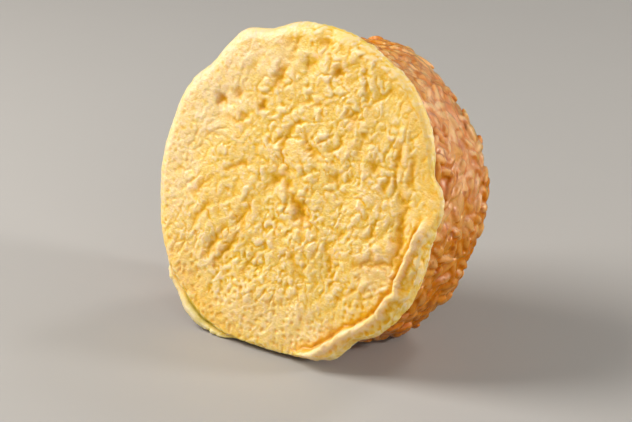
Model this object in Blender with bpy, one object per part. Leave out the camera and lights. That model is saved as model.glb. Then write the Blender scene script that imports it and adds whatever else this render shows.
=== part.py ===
"""A round cake of ketchup rice with an omelette laid over its face.

The cake stands on its edge and leans back a little. It is two solids: the rice, a thick disc
of pressed grains, and the omelette, one thin crumpled sheet whose rim rolls over the edge of
the rice, folds back over the face in a band at the lower right and pokes out in a small flap
at the lower left. Where they stand on the table both are pressed flat.

Both are drawn from the middle of the omelette's face: across runs to the viewer's right, up
runs up the face, and out stands out of it. Sizes are millimetres until a mesh is made. A
clock angle is counted in degrees from the top of the face, clockwise.
"""

import math

import bmesh
import bpy
import numpy as np
from mathutils import Matrix, Vector, noise

MM = 0.001

# How it stands
LEAN_BACK = 17.2  # degrees
FACE_MIDDLE = (1.25, -15.58, 39.5)  # so that the whole stands over the origin
TABLE_BLOCK = 160.0  # side of the block that presses the bottom flat

# Omelette
SHEET = 2.4  # thickness at the level of the face
SHEET_RINGS = 17  # rings of triangles from the middle of the face to its rim
SECTORS = 6  # each ring has this many points more than the one inside it
SKIRT_WALL = 1.8  # thickness where the sheet lies over the rice's side
SKIRT_GAP = 1.0  # between the skirt's edge and the rice
# Clock angle and outer radius of the rim
RIM_OUTLINE = (
    (0, 42.4), (12, 42.2), (24, 41.7), (35, 42.1), (45, 42.0), (53, 41.7), (60, 41.0),
    (66, 40.5), (72, 39.9), (77, 42.0), (83, 42.5), (90, 41.0), (98, 40.3), (108, 41.8),
    (117, 42.5), (124, 42.7), (131, 42.4), (137, 41.5), (142, 40.5), (148, 41.3), (153, 42.3),
    (158, 41.6), (165, 40.6), (174, 40.4), (185, 40.2), (198, 41.8), (212, 43.1), (226, 43.8),
    (240, 44.6), (256, 44.6), (272, 44.7), (288, 45.4), (300, 45.2), (310, 44.2), (318, 44.6),
    (326, 45.0), (336, 43.0), (348, 42.6),
)
# Clock angle, radius of the rolled rim, depth of the skirt's edge, and length of skirt in
# which the sheet draws in to the rice
RIM_FORM = (
    (0, 3.6, 4.6, 6.0),
    (28, 2.8, 3.8, 4.0),
    (50, 2.3, 3.4, 2.8),
    (75, 1.6, 3.0, 2.2),
    (100, 1.4, 3.0, 2.2),
    (140, 1.4, 3.0, 2.3),
    (160, 1.3, 2.8, 4.0),
    (180, 1.5, 3.0, 6.0),
    (214, 1.4, 3.8, 6.0),
    (232, 2.4, 5.8, 6.0),
    (248, 3.3, 8.4, 6.0),
    (270, 4.0, 9.8, 6.0),
    (290, 4.4, 10.0, 6.0),
    (312, 4.4, 8.4, 6.0),
    (335, 4.0, 5.9, 6.0),
)
RIM_RIPPLE = 0.15  # unevenness of the rim's radius
SKIRT_RIPPLE = 0.4  # unevenness of the skirt's depth
RIPPLE_PITCH = 5.0
ROLL_TURNS = (30.0, 60.0, 90.0)  # degrees round the rolled rim at which its section has points
EDGE_BELOW_ROLL = 1.4  # least depth of the skirt's edge below the roll
EDGE_BELOW_SHEET = 1.0  # and below the inside of the sheet
NECK_BELOW_ROLL = 0.4  # depth at which the flap's neck lies
LIP_SHARE = 0.3  # share of the wall by which the skirt's edge is rounded
CORNER_ROOM = 0.3  # extra thickness at the inner corner

# Clock angle and radius of the inner ridge of the folded rim, at the lower right
FOLD_CREST = (
    (84, 38.4),
    (93, 36.9),
    (100, 36.3),
    (108, 36.0),
    (114, 36.6),
    (117, 37.9),
    (121, 36.8),
    (128, 37.7),
    (135, 37.3),
    (143, 36.7),
    (147, 36.8),
    (153, 37.8),
    (158, 38.9),
    (166, 39.4),
    (176, 40.4),
)
FOLD_RING = 16  # ring of the face that follows the ridge
FOLD_HEIGHT = 2.4
FOLD_FOOT = 1.3  # from the foot of its steep inner side to the ridge
FOLD_BACK = 4.6  # from the ridge outwards, over which it slopes down
FOLD_SLOPE = 0.25  # share of its height that it loses on the way
FOLD_FADE = 12.0  # degrees over which each end dies out

FLAP_CLOCK = 218.8  # the flap that pokes out behind the lower left rim
FLAP_SPREAD = 19.0
FLAP_REACH = 3.9
FLAP_NECK = 0.8  # how far the sheet draws in between its rim and the flap

# Dents in the face: across, up, radius, depth
DENTS = (
    (2.6, -4.4, 2.6, 1.3),
    (-27.0, 18.5, 2.2, 1.2),
    (-22.0, 20.6, 1.7, 0.7),
    (-14.6, 19.6, 1.8, 0.9),
    (6.4, 31.5, 1.8, 1.0),
    (12.5, 21.2, 1.9, 0.7),
    (21.2, 11.0, 1.8, 0.9),
    (-2.5, 32.0, 1.9, 0.7),
    (0.5, 38.5, 2.6, 0.9),
    (-11.0, 38.0, 2.4, 0.7),
)
# Creases: from across, up; to across, up; half width; depth
CREASES = (
    (32.0, 3.0, 32.2, -10.5, 1.5, 1.3),
    (31.5, -10.5, 20.5, -13.2, 1.5, 0.9),
    (27.6, 18.0, 27.4, 9.5, 1.4, 1.0),
    (31.6, 15.5, 31.4, 8.5, 1.3, 0.8),
    (28.0, 7.5, 32.0, 3.0, 1.4, 0.8),
    (12.0, -10.5, 14.6, -19.0, 1.4, 0.8),
    (0.5, -13.5, 6.0, -20.5, 1.4, 0.6),
    (-24.6, -22.0, -19.8, -13.0, 1.5, 0.8),
    (-20.6, -23.0, -14.6, -12.0, 1.5, 0.8),
    (-14.5, -10.0, -12.5, -3.0, 1.4, 0.7),
    (-9.5, -1.0, -3.0, 5.5, 1.4, 0.7),
    (-13.0, 23.5, -9.5, 29.5, 1.4, 0.8),
    (-7.0, 12.0, -3.0, 17.5, 1.4, 0.6),
    (-30.0, -6.0, -26.0, -1.0, 1.4, 0.5),
    (16.0, 24.5, 21.0, 29.5, 1.4, 0.5),
    (2.5, 11.0, -1.5, 15.5, 1.4, 0.6),
)
BLISTER_HEIGHT = 0.55
BLISTER_PITCH = 5.2
SWELL_HEIGHT = 0.5
SWELL_PITCH = 15.0
NOISE_GAIN = 1.6  # brings noise to about -1 to 1
LAYER_STEP = 7.3  # between layers of noise, so that they differ

# Rice
CAKE_SHIFT = (-0.6, 0.6)  # of the cake's middle from the face's middle
CAKE_RADIUS = 38.5  # of the core, between the grains
CAKE_DEPTH = 36.4  # from the face to the back of the core
CAKE_FRONT = 2.7  # the core starts this far behind the face, just clear of the sheet
FRONT_ROUND = 3.0
BACK_ROUND = 13.5
BACK_CROWN = 0.8  # the back is a little fuller in the middle
CORE_SEGMENTS = 40
SIDE_ROWS = 3
ROUND_ROWS = 5
BACK_ROWS = 4
CORE_LUMPS = 0.8
LUMP_PITCH = 10.0
# Bulges and hollows of the back edge: clock angle, degrees round the edge, reach, height
BULGES = (
    (9, 12, 7.0, 1.1),
    (44, 33, 8.0, -1.1),
    (59, 29, 5.0, 1.4),
    (75, 31, 4.0, 1.2),
    (87, 31, 3.2, 1.3),
)

GRAIN_LENGTH = (5.6, 7.2)
GRAIN_WIDTH = (2.6, 3.1)
GRAIN_HEIGHT = (2.0, 2.5)
GRAIN_BEND = 0.25  # sideways, of the ends from the middle
GRAIN_SIDES = 5
GRAIN_RINGS = ((-0.27, 0.95), (0.27, 0.95))  # along the length; share of the full girth
GRAIN_LIFT = 0.3  # of a grain's middle above the core
GRAIN_SPACING = 7.0
GRAIN_SLIP = 0.2  # share of the spacing by which a grain may be out of place
GRAIN_TILT = 12.0  # degrees that a grain may tip out of the surface
GRAIN_CLEARANCE = 0.4  # kept between a grain and the omelette
FIRST_ROW_DEPTH = 8.0  # grains nearer the face than this lie along the omelette's edge
FIRST_ROW_STEPS = 4  # millimetres that such a grain may slide back
FIRST_ROW_TURN = 0.1  # radians that it may be out of line with the edge
SEED = 11

OMELETTE_COLOUR = (0.87, 0.60, 0.17, 1.0)
OMELETTE_ROUGHNESS = 0.45
RICE_COLOUR = (0.60, 0.21, 0.06, 1.0)
RICE_ROUGHNESS = 0.30
SHARP_EDGE = 40.0  # degrees between faces above which an edge shows as sharp


def ease(x):
    """0 below 0, 1 above 1, and a smooth step between."""
    x = min(max(x, 0.0), 1.0)
    return x * x * (3.0 - 2.0 * x)


def place(across, up, out):
    """A point of the leaning face, in metres."""
    lean = math.radians(LEAN_BACK)
    x = FACE_MIDDLE[0] + across
    y = FACE_MIDDLE[1] + up * math.sin(lean) - out * math.cos(lean)
    z = FACE_MIDDLE[2] + up * math.cos(lean) + out * math.sin(lean)
    return Vector((x, y, z)) * MM


def on_clock(clock, radius):
    """Across and up of a point at a clock angle."""
    angle = math.radians(clock)
    return radius * math.sin(angle), radius * math.cos(angle)


def clock_of(across, up):
    return math.degrees(math.atan2(across, up)) % 360.0


def wobble(across, up, pitch, layer):
    """Smooth unevenness between about -1 and 1, with bumps of the given pitch."""
    return NOISE_GAIN * noise.noise(Vector((across / pitch, up / pitch, LAYER_STEP * layer)))


def round_the_clock(table, clock):
    """Reads a table of clock angles and values, with a smooth curve through its rows."""
    first, second, last = table[0], table[1], table[-1]
    rows = [(last[0] - 360.0, *last[1:])]
    rows.extend(table)
    rows.append((first[0] + 360.0, *first[1:]))
    rows.append((second[0] + 360.0, *second[1:]))
    clock %= 360.0
    at = max(number for number in range(1, len(table) + 1) if rows[number][0] <= clock)
    before, here, after, beyond = rows[at - 1 : at + 3]
    length = after[0] - here[0]
    share = (clock - here[0]) / length
    step = ease(share)
    values = []
    for part in range(1, len(here)):
        leaves = length * (after[part] - before[part]) / (after[0] - before[0])
        arrives = length * (beyond[part] - here[part]) / (beyond[0] - here[0])
        bend = share * (1.0 - share) * (leaves * (1.0 - share) - arrives * share)
        values.append(here[part] + (after[part] - here[part]) * step + bend)
    return values


def rim_at(clock):
    """The rim's outer radius, the radius of its roll, the depth of the skirt's edge and the
    length in which the skirt draws in."""
    (outer,) = round_the_clock(RIM_OUTLINE, clock)
    roll, depth, draw_in = round_the_clock(RIM_FORM, clock)
    x, y = on_clock(clock, outer)
    outer += RIM_RIPPLE * wobble(x, y, RIPPLE_PITCH, 3)
    depth += SKIRT_RIPPLE * wobble(x, y, RIPPLE_PITCH, 4)
    return outer, roll, depth, draw_in


def rice_side(clock):
    """Distance from the face's middle line to the rice's side."""
    angle = math.radians(clock)
    return CAKE_RADIUS + CAKE_SHIFT[0] * math.sin(angle) + CAKE_SHIFT[1] * math.cos(angle)


def fold_strength(clock):
    """1 along the folded rim, dying out to 0 at both its ends."""
    start, end = FOLD_CREST[0][0], FOLD_CREST[-1][0]
    return ease((clock - start) / FOLD_FADE) * ease((end - clock) / FOLD_FADE)


def fold_radius(clock):
    """Radius of the folded rim's inner ridge."""
    clocks, radii = zip(*FOLD_CREST)
    return float(np.interp(clock, clocks, radii))


def fold(across, up):
    """Height of the folded rim: a steep inner side, a ridge and a gentle slope to the rim."""
    clock = clock_of(across, up)
    beyond = math.hypot(across, up) - fold_radius(clock)
    height = FOLD_HEIGHT * fold_strength(clock)
    if beyond < 0.0:
        return height * ease(1.0 + beyond / FOLD_FOOT)
    return height * (1.0 - FOLD_SLOPE * ease(beyond / FOLD_BACK))


def dent(across, up):
    """Depth of the dents and creases at a point of the face."""
    depth = 0.0
    for x, y, radius, deep in DENTS:
        apart = math.hypot(across - x, up - y) / radius
        depth += deep * math.exp(-apart * apart)
    for x0, y0, x1, y1, half, deep in CREASES:
        run_x, run_y = x1 - x0, y1 - y0
        along = ((across - x0) * run_x + (up - y0) * run_y) / (run_x**2 + run_y**2)
        along = min(max(along, 0.0), 1.0)
        apart = math.hypot(across - x0 - along * run_x, up - y0 - along * run_y) / half
        depth += deep * math.exp(-apart * apart)
    return depth


def relief(across, up):
    """How far the face stands out at a point."""
    blisters = BLISTER_HEIGHT * wobble(across, up, BLISTER_PITCH, 1)
    swell = SWELL_HEIGHT * wobble(across, up, SWELL_PITCH, 2)
    return blisters + swell - dent(across, up) + fold(across, up)


def skirt_section(clock):
    """Radius and out of the sheet's section at a clock angle, from the rolled rim round the
    skirt's edge to the inner corner."""
    outer, roll, depth, draw_in = rim_at(clock)
    flap = math.exp(-(((clock - FLAP_CLOCK) / FLAP_SPREAD) ** 4))
    rolled = []
    for turn in ROLL_TURNS:
        angle = math.radians(turn)
        rolled.append((outer - roll * (1.0 - math.sin(angle)), -roll * (1.0 - math.cos(angle))))
    edge = max(depth, roll + EDGE_BELOW_ROLL, SHEET + EDGE_BELOW_SHEET)
    side = rice_side(clock) + SKIRT_GAP + SKIRT_WALL
    edge_radius = outer + min(0.0, side - outer) * ease((edge - roll) / draw_in)
    edge_radius += FLAP_REACH * flap
    lip = LIP_SHARE * SKIRT_WALL
    return rolled + [
        (outer - FLAP_NECK * flap, -roll - NECK_BELOW_ROLL),
        (edge_radius, -edge + lip),
        (edge_radius - lip, -edge),
        (edge_radius - SKIRT_WALL + lip, -edge),
        (edge_radius - SKIRT_WALL, -edge + lip),
        (outer - SKIRT_WALL - CORNER_ROOM, -SHEET),
    ]


def face_radius(clock):
    """Radius at which the flat of the face ends and the rolled rim begins."""
    outer, roll, _, _ = rim_at(clock)
    return outer - roll


def ring_radius(clock, ring):
    """Radius of a ring of the face. Along the fold one ring follows its foot and the next its
    ridge."""
    even = face_radius(clock) * ring / SHEET_RINGS
    ridge = fold_radius(clock)
    rings = (0, FOLD_RING - 1, FOLD_RING, SHEET_RINGS)
    drawn = np.interp(ring, rings, (0.0, ridge - FOLD_FOOT, ridge, face_radius(clock)))
    return even + (float(drawn) - even) * fold_strength(clock)


def add_rings(mesh):
    """The face as a disc of near-even triangles."""
    middle = mesh.verts.new(place(0.0, 0.0, relief(0.0, 0.0)))
    rings = [[middle]]
    for ring in range(1, SHEET_RINGS + 1):
        points = []
        for step in range(SECTORS * ring):
            clock = 360.0 * step / (SECTORS * ring)
            x, y = on_clock(clock, ring_radius(clock, ring))
            points.append(mesh.verts.new(place(x, y, relief(x, y))))
        rings.append(points)
    for ring in range(1, SHEET_RINGS + 1):
        inner, outer = rings[ring - 1], rings[ring]
        for sector in range(SECTORS):
            for step in range(ring):
                a = outer[sector * ring + step]
                b = outer[(sector * ring + step + 1) % len(outer)]
                c = inner[(sector * (ring - 1) + step) % len(inner)]
                mesh.faces.new((a, b, c))
                if step < ring - 1:
                    d = inner[(sector * (ring - 1) + step + 1) % len(inner)]
                    mesh.faces.new((c, b, d))
    return rings[-1]


def add_skirt(mesh, rim):
    """The rolled rim, the skirt and its inner wall, closed by a flat over the rice."""
    sections = []
    for step, start in enumerate(rim):
        clock = 360.0 * step / len(rim)
        x, y = on_clock(clock, face_radius(clock))
        lift = relief(x, y)
        column = [start]
        for number, (radius, out) in enumerate(skirt_section(clock)):
            x, y = on_clock(clock, radius)
            keep = max(0.0, 1.0 - (number + 1) / len(ROLL_TURNS))
            column.append(mesh.verts.new(place(x, y, out + lift * keep)))
        sections.append(column)
    for here, after in zip(sections, sections[1:] + sections[:1]):
        for row in range(len(here) - 1):
            mesh.faces.new((here[row], here[row + 1], after[row + 1], after[row]))
    mesh.faces.new([column[-1] for column in sections])


def make_omelette():
    mesh = bmesh.new()
    rim = add_rings(mesh)
    add_skirt(mesh, rim)
    bmesh.ops.recalc_face_normals(mesh, faces=mesh.faces[:])
    return finish_mesh(mesh, "egg")


def cake_profile():
    """Rows along the outside of the cake, from its front rim to near the middle of its back:
    radius, depth and the angle by which the surface has turned towards the back."""
    corner = CAKE_FRONT + FRONT_ROUND
    turn = CAKE_DEPTH - BACK_ROUND
    middle = FRONT_ROUND * (1.0 - math.sqrt(0.5))
    rows = [
        (CAKE_RADIUS - FRONT_ROUND, CAKE_FRONT, 0.0),
        (CAKE_RADIUS - middle, CAKE_FRONT + middle, 0.0),
    ]
    for row in range(SIDE_ROWS + 1):
        rows.append((CAKE_RADIUS, corner + (turn - corner) * row / SIDE_ROWS, 0.0))
    for row in range(1, ROUND_ROWS + 1):
        rows.append(on_round(math.pi / 2 * row / ROUND_ROWS))
    back = CAKE_RADIUS - BACK_ROUND
    for row in range(1, BACK_ROWS):
        radius = back * (1.0 - row / BACK_ROWS)
        rows.append((radius, CAKE_DEPTH + crown(radius), math.pi / 2))
    return rows


def on_round(angle):
    """A row of the rounded back edge."""
    radius = CAKE_RADIUS - BACK_ROUND * (1.0 - math.cos(angle))
    return radius, CAKE_DEPTH - BACK_ROUND * (1.0 - math.sin(angle)), angle


def crown(radius):
    """Extra depth of the back at a radius."""
    return BACK_CROWN * (1.0 - (radius / (CAKE_RADIUS - BACK_ROUND)) ** 2)


def cake_point(clock, radius, depth):
    x, y = on_clock(clock, radius)
    return place(x + CAKE_SHIFT[0], y + CAKE_SHIFT[1], -depth)


def lumpy_point(clock, radius, depth, angle):
    """A point of the core's surface, moved in or out by the core's lumps and bulges."""
    spot = cake_point(clock, radius, depth)
    lump = 0.0
    if depth > CAKE_FRONT + FRONT_ROUND:
        lump = CORE_LUMPS * noise.noise(spot / (LUMP_PITCH * MM))
    for at, turn, reach, height in BULGES:
        bulge_radius, bulge_depth, _ = on_round(math.radians(turn))
        apart = (spot - cake_point(at, bulge_radius, bulge_depth)).length / (reach * MM)
        lump += height * math.exp(-apart * apart)
    return cake_point(clock, radius + lump * math.cos(angle), depth + lump * math.sin(angle))


def make_core():
    """The cake without its grains, a little lumpy."""
    mesh = bmesh.new()
    rows = []
    for number, row in enumerate(cake_profile()):
        offset = 0.5 * (number % 2)
        rows.append(
            [
                mesh.verts.new(lumpy_point(360.0 * (step + offset) / CORE_SEGMENTS, *row))
                for step in range(CORE_SEGMENTS)
            ]
        )
    for number, (here, after) in enumerate(zip(rows, rows[1:])):
        for step in range(CORE_SEGMENTS):
            a, b = here[step], here[(step + 1) % CORE_SEGMENTS]
            c, d = after[step], after[(step + 1) % CORE_SEGMENTS]
            split = ((a, b, d), (a, d, c)) if number % 2 else ((a, b, c), (b, d, c))
            for corners in split:
                mesh.faces.new(corners)
    middle = mesh.verts.new(cake_point(0.0, 0.0, CAKE_DEPTH + BACK_CROWN))
    for step in range(CORE_SEGMENTS):
        mesh.faces.new((rows[-1][step], rows[-1][(step + 1) % CORE_SEGMENTS], middle))
    mesh.faces.new(rows[0])
    bmesh.ops.recalc_face_normals(mesh, faces=mesh.faces[:])
    return finish_mesh(mesh, "rice")


def grain_places(rng):
    """Even places over the cake's side and back, as a clock angle and a row of the cake."""
    straight = CAKE_DEPTH - BACK_ROUND - CAKE_FRONT
    curve = BACK_ROUND * math.pi / 2
    back = CAKE_RADIUS - BACK_ROUND
    rows = round((straight + curve + back) / GRAIN_SPACING)
    spacing = (straight + curve + back) / rows
    for number in range(rows):
        run = (number + 0.5) * spacing
        if run < straight:
            radius, depth, angle = CAKE_RADIUS, CAKE_FRONT + run, 0.0
        elif run < straight + curve:
            radius, depth, angle = on_round((run - straight) / BACK_ROUND)
        else:
            radius, angle = back - (run - straight - curve), math.pi / 2
            depth = CAKE_DEPTH + crown(radius)
        count = max(1, round(2.0 * math.pi * radius / GRAIN_SPACING))
        for step in range(count):
            slip = rng.uniform(-GRAIN_SLIP, GRAIN_SLIP) * spacing
            turn = step + 0.5 * (number % 2) + rng.uniform(-GRAIN_SLIP, GRAIN_SLIP)
            row = (radius - slip * math.sin(angle), depth + slip * math.cos(angle), angle)
            yield 360.0 * turn / count, row


def grain_mesh(length, width, height, bend):
    """One cooked grain: blunt ends, a fuller middle and a slight bend."""
    mesh = bmesh.new()
    tips = [mesh.verts.new((side * length / 2, bend, 0.0)) for side in (-1, 1)]
    rings = []
    for along, share in GRAIN_RINGS:
        ring = []
        for side in range(GRAIN_SIDES):
            angle = 2.0 * math.pi * side / GRAIN_SIDES + math.pi / 2
            y = width / 2 * share * math.cos(angle) + bend * (2.0 * along) ** 2
            z = height / 2 * share * math.sin(angle)
            ring.append(mesh.verts.new((along * length, y, z)))
        rings.append(ring)
    for side in range(GRAIN_SIDES):
        after = (side + 1) % GRAIN_SIDES
        mesh.faces.new((tips[0], rings[0][after], rings[0][side]))
        mesh.faces.new((tips[1], rings[-1][side], rings[-1][after]))
        for here, there in zip(rings, rings[1:]):
            mesh.faces.new((here[side], here[after], there[after], there[side]))
    bmesh.ops.recalc_face_normals(mesh, faces=mesh.faces[:])
    return mesh


def grain_frame(clock, row, spin, tilt):
    """Where a grain lies: its length in the surface, its flat side against the cake."""
    radius, depth, angle = row
    spot = lumpy_point(clock, *row)
    outwards = cake_point(clock, radius + math.cos(angle), depth + math.sin(angle))
    outwards = (outwards - cake_point(clock, radius, depth)).normalized()
    sideways = cake_point(clock + 1.0, radius, depth) - cake_point(clock, radius, depth)
    sideways = (sideways - sideways.dot(outwards) * outwards).normalized()
    frame = Matrix((sideways, outwards.cross(sideways), outwards)).transposed()
    turned = frame @ Matrix.Rotation(spin, 3, "Z") @ Matrix.Rotation(tilt, 3, "Y")
    return Matrix.Translation(spot + outwards * GRAIN_LIFT * MM) @ turned.to_4x4()


def clear_of_sheet(points):
    """Whether a grain's points all stay behind the skirt's edge."""
    lean = math.radians(LEAN_BACK)
    for point in points:
        x, y, z = (c / MM - m for c, m in zip(point, FACE_MIDDLE))
        up = y * math.sin(lean) + z * math.cos(lean)
        depth = y * math.cos(lean) - z * math.sin(lean)
        edge = -min(out for _, out in skirt_section(clock_of(x, up)))
        if depth < edge + GRAIN_CLEARANCE:
            return False
    return True


def beside_sheet(mesh, clock, row, tilt):
    """A place for a grain next to the omelette: turned along its edge and slid back until it
    is clear."""
    radius, depth, angle = row
    for step in range(FIRST_ROW_STEPS):
        spin = FIRST_ROW_TURN * (step % 3 - 1)
        frame = grain_frame(clock, (radius, depth + step, angle), spin, tilt)
        if clear_of_sheet([frame @ (vertex.co * MM) for vertex in mesh.verts]):
            break
    return frame


def make_grains(rng):
    """The grains that show, as loose objects in a collection of their own."""
    heap = bpy.data.collections.new("grains")
    bpy.context.scene.collection.children.link(heap)
    for clock, row in grain_places(rng):
        length, width, height = (
            rng.uniform(*span) for span in (GRAIN_LENGTH, GRAIN_WIDTH, GRAIN_HEIGHT)
        )
        mesh = grain_mesh(length, width, height, rng.uniform(-GRAIN_BEND, GRAIN_BEND))
        spin = rng.uniform(0.0, math.pi)
        tilt = math.radians(rng.uniform(-GRAIN_TILT, GRAIN_TILT))
        frame = grain_frame(clock, row, spin, tilt)
        if row[1] < FIRST_ROW_DEPTH:
            frame = beside_sheet(mesh, clock, row, tilt)
        for vertex in mesh.verts:
            vertex.co = frame @ (vertex.co * MM)
        if clear_of_sheet([vertex.co for vertex in mesh.verts]):
            data = bpy.data.meshes.new("grain")
            mesh.to_mesh(data)
            heap.objects.link(bpy.data.objects.new("grain", data))
        mesh.free()
    return heap


def finish_mesh(mesh, name):
    data = bpy.data.meshes.new(name)
    mesh.to_mesh(data)
    mesh.free()
    thing = bpy.data.objects.new(name, data)
    bpy.context.scene.collection.objects.link(thing)
    return thing


def fuse(thing, heap):
    """Joins the collection's objects to the thing and removes them."""
    join = thing.modifiers.new("grains", "BOOLEAN")
    join.operation = "UNION"
    join.operand_type = "COLLECTION"
    join.collection = heap
    join.solver = "MANIFOLD"
    bpy.context.view_layer.update()
    shape = bpy.data.meshes.new_from_object(
        thing.evaluated_get(bpy.context.evaluated_depsgraph_get())
    )
    thing.modifiers.clear()
    thing.data = shape
    for grain in list(heap.objects):
        bpy.data.objects.remove(grain)
    bpy.data.collections.remove(heap)


def table_block():
    """The block under the table's surface, which presses the bottom flat."""
    mesh = bmesh.new()
    bmesh.ops.create_cube(mesh, size=TABLE_BLOCK * MM)
    bmesh.ops.translate(mesh, verts=mesh.verts, vec=(0.0, 0.0, -TABLE_BLOCK / 2 * MM))
    block = finish_mesh(mesh, "table_block")
    block.hide_render = True
    block.display_type = "WIRE"
    return block


def press_flat(thing, block):
    cut = thing.modifiers.new("pressed flat", "BOOLEAN")
    cut.operation = "DIFFERENCE"
    cut.object = block


def dress(thing, colour, roughness):
    finish = bpy.data.materials.new(thing.name)
    finish.use_nodes = True
    shader = finish.node_tree.nodes["Principled BSDF"]
    shader.inputs["Base Color"].default_value = colour
    shader.inputs["Roughness"].default_value = roughness
    shader.inputs["Metallic"].default_value = 0.0
    thing.data.materials.clear()
    thing.data.materials.append(finish)
    thing.data.shade_smooth()
    thing.data.set_sharp_from_angle(angle=math.radians(SHARP_EDGE))


def main():
    for thing in list(bpy.data.objects):
        bpy.data.objects.remove(thing)
    rng = np.random.default_rng(SEED)
    egg = make_omelette()
    rice = make_core()
    fuse(rice, make_grains(rng))
    block = table_block()
    for thing, colour, roughness in (
        (egg, OMELETTE_COLOUR, OMELETTE_ROUGHNESS),
        (rice, RICE_COLOUR, RICE_ROUGHNESS),
    ):
        dress(thing, colour, roughness)
        press_flat(thing, block)


main()
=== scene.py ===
"""An omurice rice ball: a round cake of ketchup rice with an omelette laid over its face.

The cake stands on its edge and leans back. Shapes are drawn from the middle of the omelette's
face, in millimetres: across runs to the viewer's right, up runs up the face, and out stands
out of it. A clock angle is counted in degrees from the top of the face, clockwise. The omelette
is one fine skin, with puffs and creases from noise, and folds, dents and pits in named places.
The rice is a sauce-coloured core with a layer of grains pressed into it.
"""

import logging
import math
from dataclasses import dataclass, field
from enum import Enum, IntEnum

import bpy
import numpy as np
from mathutils import Matrix, Vector, kdtree, noise


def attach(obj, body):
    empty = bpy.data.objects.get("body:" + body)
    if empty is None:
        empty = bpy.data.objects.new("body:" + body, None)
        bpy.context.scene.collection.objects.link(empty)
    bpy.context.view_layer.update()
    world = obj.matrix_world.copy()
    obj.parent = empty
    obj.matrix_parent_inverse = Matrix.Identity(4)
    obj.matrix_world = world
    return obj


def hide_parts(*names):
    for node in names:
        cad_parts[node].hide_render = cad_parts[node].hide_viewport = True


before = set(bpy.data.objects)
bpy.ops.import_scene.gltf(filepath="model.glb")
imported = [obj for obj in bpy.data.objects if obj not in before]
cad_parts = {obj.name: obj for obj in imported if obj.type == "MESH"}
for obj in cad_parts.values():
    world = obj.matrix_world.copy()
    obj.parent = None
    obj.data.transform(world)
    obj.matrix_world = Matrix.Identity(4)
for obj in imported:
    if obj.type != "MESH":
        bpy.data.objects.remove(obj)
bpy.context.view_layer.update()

log = logging.getLogger("rice ball")

Array = np.ndarray
Colour = tuple[float, float, float]

MM = 0.001
BODY = "root"


def read_table(table: tuple, clock: Array) -> Array:
    """Reads a table of clock angles and values, straight between its rows."""
    return np.interp(clock, *np.array(table, float).T)


def ease(x: Array) -> Array:
    """Steps smoothly from 0 to 1.

    Args:
        x: where on the step, 0 at its start and 1 at its end.

    Returns:
        The step's height, 0 below the start and 1 above the end.
    """
    x = np.clip(x, 0.0, 1.0)
    return x * x * (3.0 - 2.0 * x)


def on_clock(clock: Array, radius: Array) -> tuple[Array, Array]:
    """Finds points of the face, as across and up, by clock angle and radius."""
    angle = np.radians(clock)
    return radius * np.sin(angle), radius * np.cos(angle)


def clock_of(across: Array, up: Array) -> Array:
    """Gives the clock angle of points of the face, in degrees from 0 to 360."""
    return np.degrees(np.arctan2(across, up)) % 360.0


def round_the_clock(table: tuple, clock: Array) -> list[Array]:
    """Reads a table that goes round the clock, with a smooth curve through its rows.

    Args:
        table: rows of a clock angle and values.
        clock: clock angles in degrees.

    Returns:
        Each of the values at those angles.
    """
    rows = np.array(table, float)
    turn = np.zeros(rows.shape[1])
    turn[0] = 360.0
    rows = np.concatenate([rows[-1:] - turn, rows, rows[:2] + turn])
    clock = clock % 360.0
    at = np.searchsorted(rows[1:-2, 0], clock, side="right") - 1
    before, here, after, beyond = (rows[at + step].T for step in range(4))
    length = after[0] - here[0]
    share = (clock - here[0]) / length
    leaves = length * (after - before) / (after[0] - before[0])
    arrives = length * (beyond - here) / (beyond[0] - here[0])
    bend = share * (1.0 - share) * (leaves * (1.0 - share) - arrives * share)
    return list((here + (after - here) * ease(share) + bend)[1:])


def unit(rows: Array) -> Array:
    """Scales each row to length 1."""
    return rows / np.maximum(np.linalg.norm(rows, axis=-1, keepdims=True), 1e-9)


@dataclass(frozen=True)
class Stance:
    """Where the face is and how far it leans back."""

    lean: float = 17.2  # degrees
    middle: tuple[float, float, float] = (1.25, -15.58, 39.5)

    def turn(self, rows: Array) -> Array:
        """Turns directions of the face into directions of the world.

        Args:
            rows: across, up and out of each direction.

        Returns:
            The x, y and z of each direction.
        """
        lean = math.radians(self.lean)
        across, up, out = rows[..., 0], rows[..., 1], rows[..., 2]
        y = up * math.sin(lean) - out * math.cos(lean)
        z = up * math.cos(lean) + out * math.sin(lean)
        return np.stack([across, y, z], -1)

    def place(self, rows: Array) -> Array:
        """Turns places of the face, in millimetres, into places in the world, in metres."""
        return (self.turn(rows) + np.array(self.middle)) * MM

    def unplace(self, points: Array) -> Array:
        """Turns places in the world into places of the face.

        Args:
            points: the x, y and z of each place, in metres.

        Returns:
            Across, up and out of each place, in millimetres.
        """
        lean = math.radians(self.lean)
        x, y, z = (points / MM - np.array(self.middle)).T
        up = y * math.sin(lean) + z * math.cos(lean)
        out = z * math.sin(lean) - y * math.cos(lean)
        return np.stack([x, up, out], -1)


class Solid(Enum):
    """The solids of the part, each with the slot of its finish."""

    EGG = "omelette"
    RICE = "ketchup_rice"

    def dress(self, piece: bpy.types.Object) -> bpy.types.Object:
        """Fixes a piece to its body and hides the imported solid that it replaces.

        Args:
            piece: the piece that shows this solid.

        Returns:
            The same piece.
        """
        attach(piece, BODY)
        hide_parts(self.name.lower())
        return piece


class Seed(IntEnum):
    """Seeds of the noises that belong to no layer of puffs."""

    SWELLS = 400
    FINE = 410
    PITS = 420
    PUSH = 430
    FOLD = 440
    FLAP = 450
    CORE = 500
    SAUCE = 520


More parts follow.
